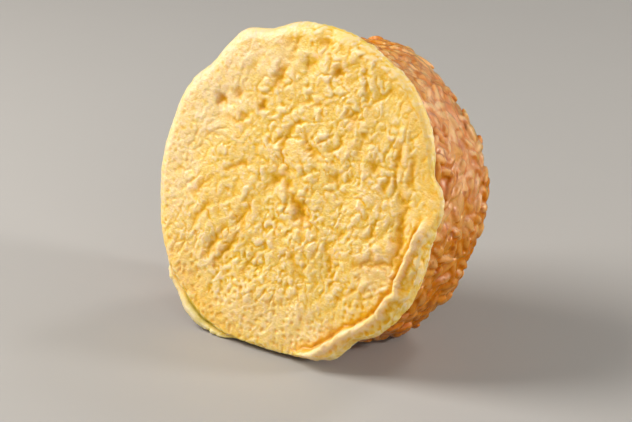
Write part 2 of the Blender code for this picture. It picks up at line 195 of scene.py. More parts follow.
class Unevenness:
    """Smooth seeded noise over a plane, about -1 to 1, with bumps of pitch 1."""

    size = 256
    strength = 1.5  # brings the noise to about -1 to 1

    def __init__(self, seed: int) -> None:
        """Draws the slopes at the corners of the lattice.

        Args:
            seed: the same seed gives the same noise.
        """
        angle = np.random.default_rng(seed).uniform(0.0, 2.0 * np.pi, (self.size, self.size))
        self.slope_x = np.cos(angle)
        self.slope_y = np.sin(angle)

    def at(self, x: Array, y: Array) -> Array:
        """Reads the noise.

        Args:
            x: first coordinates.
            y: second coordinates.

        Returns:
            The noise at each point.
        """
        column = np.floor(x).astype(int)
        row = np.floor(y).astype(int)
        right, above = x - column, y - row

        def corner(step_x: int, step_y: int) -> Array:
            """Gives the height that the slope at one corner of the lattice makes.

            Args:
                step_x: 0 for the corners before the points, 1 for those after.
                step_y: the same for the rows.

            Returns:
                The height at each point.
            """
            i = (column + step_x) % self.size
            j = (row + step_y) % self.size
            return self.slope_x[i, j] * (right - step_x) + self.slope_y[i, j] * (above - step_y)

        share_x = right**3 * (right * (right * 6.0 - 15.0) + 10.0)
        share_y = above**3 * (above * (above * 6.0 - 15.0) + 10.0)
        low = corner(0, 0) * (1.0 - share_x) + corner(1, 0) * share_x
        high = corner(0, 1) * (1.0 - share_x) + corner(1, 1) * share_x
        return self.strength * (low * (1.0 - share_y) + high * share_y)


class Specks:
    """Seeded points, one near the middle of each square of side 1, for pits and cells."""

    size = 256

    def __init__(self, seed: int) -> None:
        """Draws the points.

        Args:
            seed: the same seed gives the same points.
        """
        rng = np.random.default_rng(seed)
        self.x = rng.uniform(0.1, 0.9, (self.size, self.size))
        self.y = rng.uniform(0.1, 0.9, (self.size, self.size))
        self.draw = rng.uniform(0.0, 1.0, (self.size, self.size))

    def nearest(self, x: Array, y: Array) -> tuple[Array, Array, Array]:
        """Finds the nearest point.

        Args:
            x: first coordinates.
            y: second coordinates.

        Returns:
            The distance to the nearest point, how much further the next one is, and the
            nearest point's own draw from 0 to 1.
        """
        column = np.floor(x).astype(int)
        row = np.floor(y).astype(int)
        first = np.full(x.shape, 9.0)
        second = np.full(x.shape, 9.0)
        draw = np.zeros(x.shape)
        for step_x in (-1, 0, 1):
            for step_y in (-1, 0, 1):
                i = (column + step_x) % self.size
                j = (row + step_y) % self.size
                apart = np.hypot(
                    x - column - step_x - self.x[i, j], y - row - step_y - self.y[i, j]
                )
                nearer = apart < first
                second = np.where(nearer, first, np.minimum(second, apart))
                first = np.where(nearer, apart, first)
                draw = np.where(nearer, self.draw[i, j], draw)
        return first, second - first, draw


class Nodes:
    """A short way to write a material's nodes."""

    def __init__(self, name: str) -> None:
        """Makes an empty material with a surface shader.

        Args:
            name: the material's name.
        """
        self.material = bpy.data.materials.new(name)
        self.material.use_nodes = True
        self.tree = self.material.node_tree
        self.shader = self.tree.nodes["Principled BSDF"]
        self.place = self.add("ShaderNodeTexCoord").outputs["Object"]

    def add(self, kind: str, **settings: object) -> bpy.types.Node:
        """Adds a node.

        Args:
            kind: the node's type.
            **settings: its properties.

        Returns:
            The node.
        """
        node = self.tree.nodes.new(kind)
        for key, value in settings.items():
            setattr(node, key, value)
        return node

    def link(self, value: object, socket: bpy.types.NodeSocket) -> None:
        """Feeds a socket from another socket or with a plain value.

        Args:
            value: an output socket, a number or a colour.
            socket: the input socket.
        """
        if isinstance(value, bpy.types.NodeSocket):
            self.tree.links.new(value, socket)
        elif isinstance(value, tuple) and len(value) == 3 and socket.type == "RGBA":
            socket.default_value = (*value, 1.0)
        else:
            socket.default_value = value

    def attribute(self, name: str) -> bpy.types.NodeSocket:
        """Reads a number stored on the mesh."""
        return self.add("ShaderNodeAttribute", attribute_name=name).outputs["Fac"]

    def noise(self, pitch: float, detail: float = 2.0, rough: float = 0.5) -> bpy.types.NodeSocket:
        """Makes noise in the object's own coordinates.

        Args:
            pitch: millimetres from bump to bump.
            detail: number of finer layers.
            rough: strength of the finer layers.

        Returns:
            The noise's socket, from 0 to 1.
        """
        node = self.add("ShaderNodeTexNoise")
        self.link(self.place, node.inputs["Vector"])
        node.inputs["Scale"].default_value = 1.0 / (pitch * MM)
        node.inputs["Detail"].default_value = detail
        node.inputs["Roughness"].default_value = rough
        return node.outputs["Fac"]

    def span(
        self, value: object, low: float, high: float, to: tuple[float, float]
    ) -> bpy.types.NodeSocket:
        """Maps a range of numbers to another, smoothly and without going outside it.

        Args:
            value: the number's socket.
            low: where the range starts.
            high: where it ends.
            to: the two ends of the new range.

        Returns:
            The mapped number's socket.
        """
        node = self.add("ShaderNodeMapRange", interpolation_type="SMOOTHSTEP")
        self.link(value, node.inputs["Value"])
        node.inputs["From Min"].default_value = low
        node.inputs["From Max"].default_value = high
        node.inputs["To Min"].default_value = to[0]
        node.inputs["To Max"].default_value = to[1]
        return node.outputs["Result"]

    def math(self, operation: str, a: object, b: object = 0.0) -> bpy.types.NodeSocket:
        """Does a sum.

        Args:
            operation: Blender's name for it.
            a: first number or socket.
            b: second number or socket.

        Returns:
            The result's socket.
        """
        node = self.add("ShaderNodeMath", operation=operation)
        self.link(a, node.inputs[0])
        self.link(b, node.inputs[1])
        return node.outputs[0]

    def mix(self, share: object, a: object, b: object) -> bpy.types.NodeSocket:
        """Mixes two colours.

        Args:
            share: how much of the second, 0 to 1.
            a: first colour or socket.
            b: second colour or socket.

        Returns:
            The mixed colour's socket.
        """
        node = self.add("ShaderNodeMix", data_type="RGBA", blend_type="MIX")
        self.link(share, node.inputs["Factor"])
        self.link(a, node.inputs[6])
        self.link(b, node.inputs[7])
        return node.outputs[2]

    def bump(self, socket: str, height: object, millimetres: float) -> None:
        """Raises the shader's surface or its wet coat by a fine pattern.

        Args:
            socket: "Normal" for the surface, "Coat Normal" for the coat.
            height: the pattern's socket.
            millimetres: how high the pattern stands.
        """
        node = self.add("ShaderNodeBump")
        node.inputs["Distance"].default_value = millimetres * MM
        self.link(height, node.inputs["Height"])
        self.link(node.outputs["Normal"], self.shader.inputs[socket])

    def set(self, **values: object) -> None:
        """Sets the shader's sockets. An underscore in a name stands for a space."""
        for key, value in values.items():
            self.link(value, self.shader.inputs[key.replace("_", " ")])


def make_piece(name: str, points: Array, faces: list, material: bpy.types.Material) -> bpy.types.Object:
    """Makes a smooth mesh object with its place in its mesh.

    Args:
        name: the piece's name.
        points: its corners in the world, in metres.
        faces: its faces as rows of corner numbers.
        material: its finish.

    Returns:
        The object.
    """
    mesh = bpy.data.meshes.new(name)
    mesh.from_pydata(points.tolist(), [], faces)
    mesh.update()
    mesh.shade_smooth()
    mesh.materials.append(material)
    piece = bpy.data.objects.new(name, mesh)
    bpy.context.scene.collection.objects.link(piece)
    return piece


def store(mesh: bpy.types.Mesh, name: str, values: Array) -> None:
    """Keeps a number for each corner of a mesh."""
    kept = mesh.attributes.get(name) or mesh.attributes.new(name, "FLOAT", "POINT")
    kept.data.foreach_set("value", values.astype(np.float32))


def corners(mesh: bpy.types.Mesh) -> Array:
    """Reads a mesh's corners.

    Args:
        mesh: the mesh.

    Returns:
        Rows of x, y and z.
    """
    flat = np.empty(len(mesh.vertices) * 3)
    mesh.vertices.foreach_get("co", flat)
    return flat.reshape(-1, 3)


def softened(mesh: bpy.types.Mesh, points: Array, rounds: int) -> Array:
    """Moves each corner most of the way to the middle of its neighbours, again and again.

    Args:
        mesh: the mesh.
        points: where its corners are.
        rounds: how many rings of neighbours the smoothing reaches.

    Returns:
        The smoothed corners.
    """
    edges = np.empty(len(mesh.edges) * 2, int)
    mesh.edges.foreach_get("vertices", edges)
    one, two = edges.reshape(-1, 2).T
    count = len(points)
    near = np.bincount(one, minlength=count) + np.bincount(two, minlength=count)
    smooth = points.copy()
    share = 0.6  # of the way that a corner moves in one round
    for _ in range(rounds):
        for axis in range(3):
            values = smooth[:, axis]
            total = np.bincount(one, values[two], count) + np.bincount(two, values[one], count)
            smooth[:, axis] = (1.0 - share) * values + share * total / near
    return smooth


def hollows(mesh: bpy.types.Mesh, rounds: int) -> Array:
    """Measures how far each corner lies below the smoothed surface around it.

    Args:
        mesh: the mesh.
        rounds: how many rings of neighbours the smoothing reaches.

    Returns:
        Millimetres below the smoothed surface, negative on a bump.
    """
    start = corners(mesh)
    normals = np.empty(len(start) * 3)
    mesh.vertices.foreach_get("normal", normals)
    apart = softened(mesh, start, rounds) - start
    return np.einsum("ij,ij->i", apart, normals.reshape(-1, 3)) / MM


def bands(first: int, rings: int, count: int) -> list[tuple[int, int, int, int]]:
    """Joins rings that hold equally many corners into bands of faces.

    Args:
        first: number of the first ring's first corner.
        rings: number of bands.
        count: corners in each ring.

    Returns:
        The faces.
    """
    faces = []
    for ring in range(rings):
        here, after = first + ring * count, first + (ring + 1) * count
        for step in range(count):
            nxt = (step + 1) % count
            faces.append((here + step, here + nxt, after + nxt, after + step))
    return faces


def beads_of(places: Array, lengthwise: Array, offsets: Array) -> Array:
    """Puts a row of beads along each grain, at offsets from its middle."""
    return places[:, None] + offsets[None, :, None] * lengthwise[:, None]


def tree_of(spots: Array) -> kdtree.KDTree:
    """Sorts points so that near ones are found fast.

    Args:
        spots: the points.

    Returns:
        The sorted points.
    """
    tree = kdtree.KDTree(len(spots))
    for number, spot in enumerate(spots.tolist()):
        tree.insert(spot, number)
    tree.balance()
    return tree


def rest_on_table(points: Array, reach: float) -> Array:
    """Presses what would go through the table flat on it.

    Args:
        points: places in metres.
        reach: height in millimetres below which the shape is pressed.

    Returns:
        The places, none below the table.
    """
    pressed = points.copy()
    height = points[:, 2] / MM
    low = height < reach
    pressed[low, 2] = reach * np.exp((height[low] - reach) / reach) * MM
    return pressed


@dataclass(frozen=True)
class OmeletteFinish:
    """Moist cooked egg, cream on its puffs, with painted shade as deeper yellow in its hollows and rim,
    and paler peach patches that are partly browning, partly painted light.
    """

    puff: Colour = (0.97, 0.72, 0.42)
    middling: Colour = (0.94, 0.64, 0.15)
    # crease and deep are deeper yellows, painted shade in the creases, dents and grooves
    crease: Colour = (0.87, 0.50, 0.010)
    deep: Colour = (0.80, 0.40, 0.002)
    browned_and_lit: Colour = (0.98, 0.73, 0.47)
    roughness: float = 0.46

    def material(self) -> bpy.types.Material:
        """Builds the material.

        Returns:
            The material.
        """
        nodes = Nodes("omelette")
        # The skin turns deeper yellow where it lies below its smoothed surface, in creases and valleys:
        # painted shade.
        fine = nodes.math("MULTIPLY", nodes.attribute("crease"), 0.45)
        depth = nodes.math("ADD", fine, nodes.attribute("painted_valley_shade"))
        patch = nodes.span(nodes.noise(9.0, 3.0), 0.35, 0.75, (0.0, 0.35))
        colour = nodes.mix(nodes.span(depth, -0.9, 0.3, (0.0, 1.0)), self.puff, self.middling)
        colour = nodes.mix(patch, colour, self.middling)
        colour = nodes.mix(nodes.span(depth, -0.1, 1.1, (0.0, 1.0)), colour, self.crease)
        mottle = nodes.span(nodes.noise(2.6, 3.0, 0.6), 0.3, 0.7, (0.2, 0.8))
        # Paler peach patches, mostly on the left: partly browning, partly painted light on the side the
        # lamp falls on.
        tan_and_lit = nodes.math("MULTIPLY", nodes.attribute("tan_and_lit"), mottle)
        colour = nodes.mix(tan_and_lit, colour, self.browned_and_lit)
        # The named dents and the grooves by the fold and the flap take a deeper yellow: painted shade.
        colour = nodes.mix(nodes.attribute("deep"), colour, self.deep)
        gloss = nodes.span(nodes.noise(1.4, 2.0), 0.3, 0.7, (-0.10, 0.10))
        nodes.set(
            Base_Color=colour,
            Roughness=nodes.math("ADD", gloss, self.roughness),
            Subsurface_Weight=1.0,
            Subsurface_Radius=(1.0, 0.88, 0.22),
            Subsurface_Scale=1.7 * MM,
            Specular_IOR_Level=0.18,
            Coat_Weight=0.4,
            Coat_Roughness=0.12,
            Coat_IOR=1.7,
        )
        fold = nodes.math("ABSOLUTE", nodes.math("SUBTRACT", nodes.noise(0.9, 2.0, 0.6), 0.5))
        height = nodes.math("ADD", fold, nodes.math("MULTIPLY", nodes.noise(0.4), 0.5))
        nodes.bump("Normal", height, 0.25)
        nodes.bump("Coat Normal", height, 0.35)
        return nodes.material


@dataclass(frozen=True)
class RiceFinish:
    """Cooked grains stained with ketchup: glassy, with pale cores, set in orange sauce."""

    pale: Colour = (0.83, 0.475, 0.16)
    stained: Colour = (0.75, 0.345, 0.05)
    sauce: Colour = (0.60, 0.18, 0.001)
    # the darkest colour: dark spots of sauce, and painted shade in the low places between grains
    dark_and_shade: Colour = (0.42, 0.100, 0.001)
    roughness: float = 0.30

    def material(self) -> bpy.types.Material:
        """Builds the material.

        Returns:
            The material.
        """
        nodes = Nodes("ketchup_rice")
        seam = nodes.attribute("seam")
        ragged = nodes.math("MULTIPLY", nodes.math("SUBTRACT", nodes.noise(1.6, 3.0, 0.6), 0.5), 0.6)
        smear = nodes.math("MULTIPLY", nodes.math("SUBTRACT", nodes.noise(7.0, 1.0), 0.5), 1.3)
        bare = nodes.math("ADD", nodes.math("ADD", seam, ragged), smear)
        core = nodes.span(bare, 0.12, 0.48, (0.0, 1.0))
        tint = nodes.span(nodes.attribute("tint"), 0.15, 0.85, (0.0, 1.0))
        grain = nodes.mix(tint, self.stained, self.pale)
        colour = nodes.mix(core, self.sauce, grain)
        stain = nodes.span(nodes.noise(5.0, 3.0, 0.6), 0.46, 0.66, (0.0, 0.8))
        # More sauce colour towards the bottom: partly sauce in the grains, partly painted shade.
        colour = nodes.mix(nodes.math("MAXIMUM", stain, nodes.attribute("soaked_and_shaded")), colour, self.sauce)
        speck = nodes.span(nodes.noise(2.2, 1.0), 0.60, 0.74, (0.0, 0.8))
        # Darker colour where the surface lies low between grains: pooled sauce and painted shade.
        low = nodes.span(nodes.attribute("proud"), -0.9, -0.2, (0.7, 0.0))
        colour = nodes.mix(nodes.math("MAXIMUM", speck, low), colour, self.dark_and_shade)
        gloss = nodes.span(nodes.noise(1.6), 0.3, 0.7, (-0.06, 0.1))
        nodes.set(
            Base_Color=colour,
            Roughness=nodes.math("ADD", gloss, self.roughness),
            Subsurface_Weight=0.8,
            Subsurface_Radius=(1.0, 0.60, 0.30),
            Subsurface_Scale=1.1 * MM,
            Specular_IOR_Level=0.05,
            Coat_Weight=0.7,
            Coat_Roughness=0.07,
        )
        swell = nodes.noise(2.4, 1.0)
        wrinkle = nodes.math("MULTIPLY", nodes.noise(0.8, 2.0, 0.6), 0.35)
        sparkle = nodes.math("MULTIPLY", nodes.noise(0.7, 1.0), 0.7)
        nodes.bump("Normal", nodes.math("ADD", swell, wrinkle), 0.35)
        nodes.bump("Coat Normal", nodes.math("ADD", swell, sparkle), 0.7)
        return nodes.material


@dataclass(frozen=True)
class TableFinish:
    """A plain pale table top."""

    colour: Colour = (0.42, 0.415, 0.405)
    darker: Colour = (0.38, 0.375, 0.365)

    def material(self) -> bpy.types.Material:
        """Builds the material.

        Returns:
            The material.
        """
        nodes = Nodes("table_top")
        tone = nodes.span(nodes.noise(30.0, 2.0), 0.3, 0.7, (0.0, 0.06))
        nodes.set(
            Base_Color=nodes.mix(tone, self.colour, self.darker),
            Roughness=0.6,
        )
        return nodes.material


@dataclass(frozen=True)
class Dent:
    """A round hollow in the face."""

    across: float
    up: float
    radius: float
    depth: float


@dataclass(frozen=True)
class Crease:
    """A narrow hollow from one place of the face to another."""

    across: float
    up: float
    to_across: float
    to_up: float
    half: float
    depth: float


@dataclass(frozen=True)
class Patch:
    """A round region of the face in which something holds, fading out at its edge."""

    across: float
    up: float
    wide: float
    high: float
    amount: float

    def share(self, across: Array, up: Array) -> Array:
        """Gives how strongly the region holds at points of the face, 0 outside it."""
        apart = ((across - self.across) / self.wide) ** 2 + ((up - self.up) / self.high) ** 2
        return self.amount * np.exp(-(apart**2))


def strongest(patches: tuple[Patch, ...], across: Array, up: Array) -> Array:
    """Gives the strongest of some patches at points of the face."""
    return np.max([patch.share(across, up) for patch in patches], axis=0)


@dataclass(frozen=True)
class Puffs:
    """One layer of puffed skin: soft tops between narrow creases."""

    pitch: float  # millimetres
    height: float
    crease: float  # width of a crease, as a share of the noise
    fade: float  # millimetres over which puffs come and go
    seed: int


@dataclass(frozen=True)
class Grainline:
    """A region of the face whose creases mostly run one way."""

    across: float
    up: float
    degrees: float  # anticlockwise from across
    stretch: float  # length of its puffs over their width


RIM_OUTLINE = (  # clock angle and outer radius of the rim
    (0, 42.4), (12, 42.2), (24, 41.7), (35, 42.1), (45, 42.0), (53, 41.7), (60, 41.0),
    (66, 40.5), (72, 39.9), (77, 42.0), (83, 42.5), (90, 41.0), (98, 40.3), (108, 41.8),
    (117, 42.5), (124, 42.7), (131, 42.4), (137, 41.5), (142, 40.5), (148, 41.3), (153, 42.3),
    (158, 41.6), (165, 40.6), (174, 40.4), (185, 40.2), (198, 41.8), (212, 43.1), (226, 43.8),
    (240, 44.6), (256, 44.6), (272, 44.7), (288, 45.4), (300, 45.2), (310, 44.2), (318, 44.6),
    (326, 45.0), (336, 43.0), (348, 42.6),
)
RIM_FORM = (  # clock angle, roll's radius, depth of the skirt's edge, length of drawing in
    (0, 3.6, 4.6, 6.0), (28, 2.8, 3.8, 4.0), (50, 2.3, 3.4, 2.8), (75, 1.6, 3.0, 2.2),
    (100, 1.4, 3.0, 2.2), (140, 1.4, 3.0, 2.3), (160, 1.3, 2.8, 4.0), (180, 1.5, 3.0, 6.0),
    (214, 1.4, 3.8, 6.0), (232, 2.4, 5.8, 6.0), (248, 3.3, 8.4, 6.0), (270, 4.0, 9.8, 6.0),
    (290, 4.4, 10.0, 6.0), (312, 4.4, 8.4, 6.0), (335, 4.0, 5.9, 6.0),
)
FOLD_CREST = (  # clock angle and radius of the folded rim's inner ridge
    (84, 38.4), (93, 36.9), (100, 36.3), (108, 36.0), (114, 36.6), (117, 37.9), (121, 36.8),
    (128, 37.7), (135, 37.3), (143, 36.7), (147, 36.8), (153, 37.8), (158, 38.9), (166, 39.4),
    (176, 40.4),
)
DENTS = tuple(
    Dent(*row)
    for row in (  # across, up, radius and depth
        (2.6, -4.4, 2.0, 1.4), (0.6, -2.4, 1.8, 0.7), (-27.0, 18.5, 1.5, 1.6), (-22.4, 20.8, 1.2, 1.0),
        (-14.6, 19.6, 1.3, 1.2), (-19.0, 15.6, 1.3, 0.7), (6.4, 31.5, 1.7, 1.0),
        (12.5, 21.2, 1.7, 0.7), (21.2, 11.2, 1.6, 0.9), (-2.5, 32.0, 1.7, 0.7), (0.5, 38.5, 2.4, 0.8),
        (-11.0, 38.0, 2.2, 0.7), (-10.2, 26.4, 1.4, 0.6), (-10.0, 29.4, 1.2, 0.6),
        (-6.0, 7.4, 1.6, 0.7), (-7.2, 2.6, 1.7, 0.7), (-2.6, 2.2, 1.5, 0.7), (10.9, 6.0, 1.5, 0.7),
        (-17.0, 4.6, 1.3, 0.5), (2.6, 10.6, 1.5, 0.6), (-6.2, 12.2, 1.6, 0.5), (14.6, -6.6, 1.3, 0.5),
        (24.6, -5.0, 1.3, 0.5), (-15.6, -9.6, 1.5, 0.6), (16.5, -31.5, 2.2, 0.5),
    )
)
CREASES = tuple(
    Crease(*row)
    for row in (  # from across and up, to across and up, half width and depth
        (31.2, 3.0, 32.0, -9.5, 1.3, 1.3), (31.5, -10.5, 20.5, -13.2, 1.2, 0.9),
        (27.4, 18.0, 27.4, 9.5, 1.1, 0.9), (31.6, 15.5, 31.4, 8.5, 1.1, 0.8),
        (28.0, 7.5, 32.0, 3.0, 1.2, 0.8), (12.0, -10.5, 14.6, -19.0, 1.1, 0.8),
        (0.5, -13.5, 6.0, -20.5, 1.1, 0.6), (-24.6, -22.0, -19.8, -13.0, 1.1, 0.8),
        (-20.6, -23.0, -14.6, -12.0, 1.1, 0.8), (-14.5, -10.0, -12.5, -3.0, 1.0, 0.6),
        (-9.5, -1.0, -3.0, 5.5, 1.1, 0.6), (-13.0, 23.5, -9.5, 29.5, 1.1, 0.7),
        (-7.0, 12.0, -3.0, 17.5, 1.1, 0.5), (-30.0, -6.0, -26.0, -1.0, 1.0, 0.5),
        (16.0, 24.5, 21.0, 29.5, 1.1, 0.4), (2.5, 11.0, -1.5, 15.5, 1.1, 0.5),
        (2.8, -4.8, -2.6, 0.4, 0.9, 0.6), (2.8, -4.8, 3.4, -8.6, 0.8, 0.5),
        (2.8, -4.8, 9.6, -8.2, 0.8, 0.4), (24.2, 5.2, 26.0, 9.8, 0.9, 0.6),
        (37.0, -7.0, 35.2, -15.5, 0.8, 0.5), (-6.6, 41.0, -8.4, 33.0, 1.2, 0.5),
        (-4.0, 22.0, 6.0, 23.4, 0.8, 0.4), (15.6, 13.0, 17.6, 19.0, 0.9, 0.5),
        (8.0, 12.4, 11.4, 17.0, 0.9, 0.4), (-22.6, 1.6, -16.6, 4.2, 0.9, 0.5),
        (-24.6, 15.0, -18.6, 13.6, 0.9, 0.5), (-29.0, -13.0, -24.4, -6.0, 0.9, 0.5),
        (-13.6, -25.0, -9.0, -17.6, 0.9, 0.4), (17.6, -22.6, 22.6, -18.0, 0.9, 0.4),
    )
)
RIM_PAINTED_SHADE = (  # clock angle and how much painted shade deepens the rim's yellow
    (0, 0.30), (25, 0.30), (50, 0.30), (80, 0.18), (150, 0.18), (175, 0.15), (200, 0.45), (232, 0.45),
    (255, 0.0), (325, 0.0), (345, 0.2),
)
LINE_REACH = 12.0  # millimetres over which a grainline holds
GRAINLINES = (
    Grainline(-20.0, -16.0, 54.0, 1.5),
    Grainline(18.0, -18.0, 66.0, 1.3),
    Grainline(22.0, 16.0, 78.0, 1.35),
    Grainline(2.0, 30.0, 18.0, 1.2),
    Grainline(-20.0, 14.0, 34.0, 1.15),
    Grainline(0.0, 0.0, 60.0, 1.1),
)
PUFFS = (
    Puffs(6.6, 0.42, 0.50, 6.0, 100),
    Puffs(3.9, 0.50, 0.50, 4.2, 200),
    Puffs(2.2, 0.28, 0.45, 3.0, 300),
    Puffs(1.2, 0.10, 0.40, 2.2, 380),
)
CALM = (  # where the skin is smoother than elsewhere, and by how much
    Patch(38.0, 16.0, 6.0, 14.0, 0.5),
    Patch(31.0, 28.0, 7.0, 7.0, 0.4),
    Patch(-23.0, 10.0, 14.0, 22.0, 0.32),
    Patch(-8.0, 34.0, 16.0, 7.0, 0.25),
    Patch(-42.0, 0.0, 7.0, 30.0, 0.85),
    Patch(-33.0, 26.0, 8.5, 12.0, 0.8),
    Patch(-20.0, 37.0, 13.0, 7.0, 0.75),
    Patch(0.0, -35.0, 26.0, 7.0, 0.6),
    Patch(-26.0, -28.0, 10.0, 9.0, 0.45),
    Patch(22.0, -26.0, 9.0, 6.0, 0.4),
)
PITTED = (  # where small pits show between the puffs
    Patch(-20.0, -27.0, 17.0, 12.0, 1.0),
    Patch(2.0, -34.0, 26.0, 8.0, 1.0),
    Patch(24.0, -22.0, 9.0, 9.0, 0.9),
    Patch(-38.0, -4.0, 8.0, 26.0, 0.6),
    Patch(-30.0, 26.0, 12.0, 12.0, 0.5),
    Patch(12.0, -12.0, 10.0, 9.0, 0.4),
)
BROWNED_AND_LIT = (  # where the skin is paler and peachier: partly browning, partly painted light where the lamp falls
    Patch(-31.0, 23.0, 12.0, 15.0, 1.0),
    Patch(-37.0, 2.0, 7.0, 18.0, 0.9),
    Patch(-20.0, 33.0, 12.0, 8.0, 0.9),
    Patch(-30.0, -24.0, 9.0, 10.0, 0.5),
    Patch(0.0, -33.0, 26.0, 7.0, 0.5),
    Patch(26.0, -14.0, 5.0, 6.0, 0.5),
)


@dataclass
class Omelette:
    """The thin crumpled omelette over the face, with its rolled rim, folded edge and flap."""

    stance: Stance
    finish: OmeletteFinish
    rice_radius: float  # of the rice's side
    rice_shift: tuple[float, float]
    sheet: float = 2.4  # thickness of the sheet at the face
    wall: float = 1.8  # thickness where it lies over the rice's side
    gap: float = 1.0  # between the skirt's edge and the rice
    below_roll: float = 1.4  # least depth of the skirt's edge below the roll
    below_sheet: float = 1.0  # and below the inside of the sheet
    hollow: float = 0.7  # of the named dents' and creases' full depth
    sink: float = 0.58  # of the middle of the skin's relief below the solid's own surface
    ripple: float = 0.15  # of the rim's radius
    skirt_ripple: float = 0.4  # of the skirt's depth
    ripple_pitch: float = 5.0
    fold_height: float = 2.0
    fold_foot: float = 1.1
    fold_back: float = 4.6
    fold_slope: float = 0.5  # share of its height lost from its ridge to the rim
    fold_ends: tuple[float, float] = (84.0, 174.0)
    fold_fade: float = 12.0
    flap_clock: float = 218.8
    flap_spread: float = 19.0
    flap_facing: float = 0.9  # radians by which its skin turns to the front
    flap: tuple[tuple[float, float, float], ...] = (  # share of skirt, reach, depth
        (0.0, 0.0, 0.0),
        (0.12, -0.9, 0.4),
        (0.25, -0.7, 0.7),
        (0.38, 0.5, 0.4),
        (0.52, 1.6, -0.6),
        (0.68, 2.5, -1.1),
        (0.85, 3.4, -1.0),
        (1.0, 3.9, -0.3),
    )
    corner: float = 0.3  # of its inner side, from the wall
    rings: int = 130
    roll_rows: int = 18
    skirt_rows: int = 18
    lip_rows: int = 6
    swells: tuple[tuple[float, float], ...] = ((16.0, 0.44), (8.0, 0.26))  # pitch, height
    fine: tuple[tuple[float, float], ...] = ((1.0, 0.06), (0.5, 0.035))
    crease_round: float = 0.04  # how round the bottom of a crease is, as a share of the noise
    crease_line: float = 0.13  # width of the sharp line in it, as a share of the noise
    pit_pitch: float = 1.7
    pit_radius: float = 0.42
    pit_depth: float = 0.34
    pits_missing: float = 0.35  # share of the places for a pit that have none
    warp: float = 0.38  # how far noise is pushed about, as a share of its pitch
    push: float = 0.7  # how far the dents and creases are pushed about
    push_pitch: float = 2.6
    rim_shade_from: float = 34.0  # radius at which the rim's painted shade, a deeper yellow, sets in
    rim_shade_fade: float = 5.0
    crease_rounds: int = 6  # rings of corners that a crease is measured against
    valley_rounds: int = 40
    table_reach: float = 0.5
    noises: dict = field(default_factory=dict)

    def noise(self, seed: int) -> Unevenness:
        """Gives the noise of a seed, made once.

        Args:
            seed: its seed.

        Returns:
            The noise.
        """
        if seed not in self.noises:
            self.noises[seed] = Unevenness(seed)
        return self.noises[seed]

    def rim_at(self, clock: Array) -> tuple[Array, Array, Array, Array]:
        """Reads the rim's sizes.

        Args:
            clock: clock angles in degrees.

        Returns:
            Outer radius, radius of the roll, depth of the skirt's edge and the length of
            skirt in which it draws in to the rice.
        """
        (outer,) = round_the_clock(RIM_OUTLINE, clock)
        roll, depth, hug = round_the_clock(RIM_FORM, clock)
        across, up = on_clock(clock, outer)
        outer = outer + self.ripple * self.wobble(across, up, self.ripple_pitch, 3)
        depth = depth + self.skirt_ripple * self.wobble(across, up, self.ripple_pitch, 4)
        return outer, roll, depth, hug

    def edge_at(self, clock: Array) -> Array:
        """Reads how deep behind the face the omelette's edge lies at clock angles."""
        _, roll, depth, _ = self.rim_at(clock)
        return np.maximum(np.maximum(depth, roll + self.below_roll), self.sheet + self.below_sheet)

    @staticmethod
    def wobble(across: Array, up: Array, pitch: float, layer: int) -> Array:
        """Makes smooth unevenness like the solid's own, about -1 to 1."""
        strength, layers_apart = 1.6, 7.3
        spots = zip(across / pitch, up / pitch)
        return strength * np.array([noise.noise(Vector((x, y, layers_apart * layer))) for x, y in spots])

    def warped(self, x: Array, y: Array, seed: int) -> Array:
        """Reads noise at places that other noise has pushed about.

        Args:
            x: first coordinates, in pitches.
            y: second coordinates, in pitches.
            seed: the layer's seed.

        Returns:
            The noise, about -1 to 1.
        """
        one, two = self.noise(seed), self.noise(seed + 1)
        wide, fine = 1.3, 2.9  # bumps of the pushing noise for each bump of the pushed one
        apart_x, apart_y, apart_fine = 3.1, 7.7, 4.0  # keep the two pushes from being alike
        push_x = one.at(wide * x + apart_x, wide * y) + 0.5 * two.at(fine * x, fine * y)
        push_y = two.at(wide * x, wide * y + apart_y) + 0.5 * one.at(fine * x + apart_fine, fine * y)
        return self.noise(seed + 2).at(x + self.warp * push_x, y + self.warp * push_y)

    def puffed(self, across: Array, up: Array) -> Array:
        """Raises the layers of puffs, each region's along its own grainline.

        Args:
            across: millimetres to the right of the middle.
            up: millimetres above it.

        Returns:
            The height at each place.
        """
        weights = [
            np.exp(-((across - line.across) ** 2 + (up - line.up) ** 2) / (2.0 * LINE_REACH**2)) + 1e-6
            for line in GRAINLINES
        ]
        total = np.sqrt(sum(weight**2 for weight in weights))
        common, varied, weakest, strong = 0.65, 1.3, 0.05, 1.3  # how puffs come and go
        crown, line_depth, crease_depth = 0.6, 0.4, 0.5  # shares of a layer's height
        height = np.zeros(across.shape)
        for layer in PUFFS:
            mixed = np.zeros(across.shape)
            for number, (line, weight) in enumerate(zip(GRAINLINES, weights)):
                angle = math.radians(line.degrees)
                along = (across * math.cos(angle) + up * math.sin(angle)) / line.stretch
                beside = up * math.cos(angle) - across * math.sin(angle)
                seed = layer.seed + 10 * number
                mixed += weight / total * self.warped(along / layer.pitch, beside / layer.pitch, seed)
            comes = self.noise(layer.seed + 5).at(across / layer.fade, up / layer.fade)
            strength = np.clip(common + varied * comes, weakest, strong)
            bent = np.hypot(mixed, self.crease_round) - self.crease_round
            line = line_depth * np.exp(-bent / self.crease_line)
            soft = crease_depth * np.exp(-bent / layer.crease)
            height += layer.height * strength * (crown - line - soft)
        return height

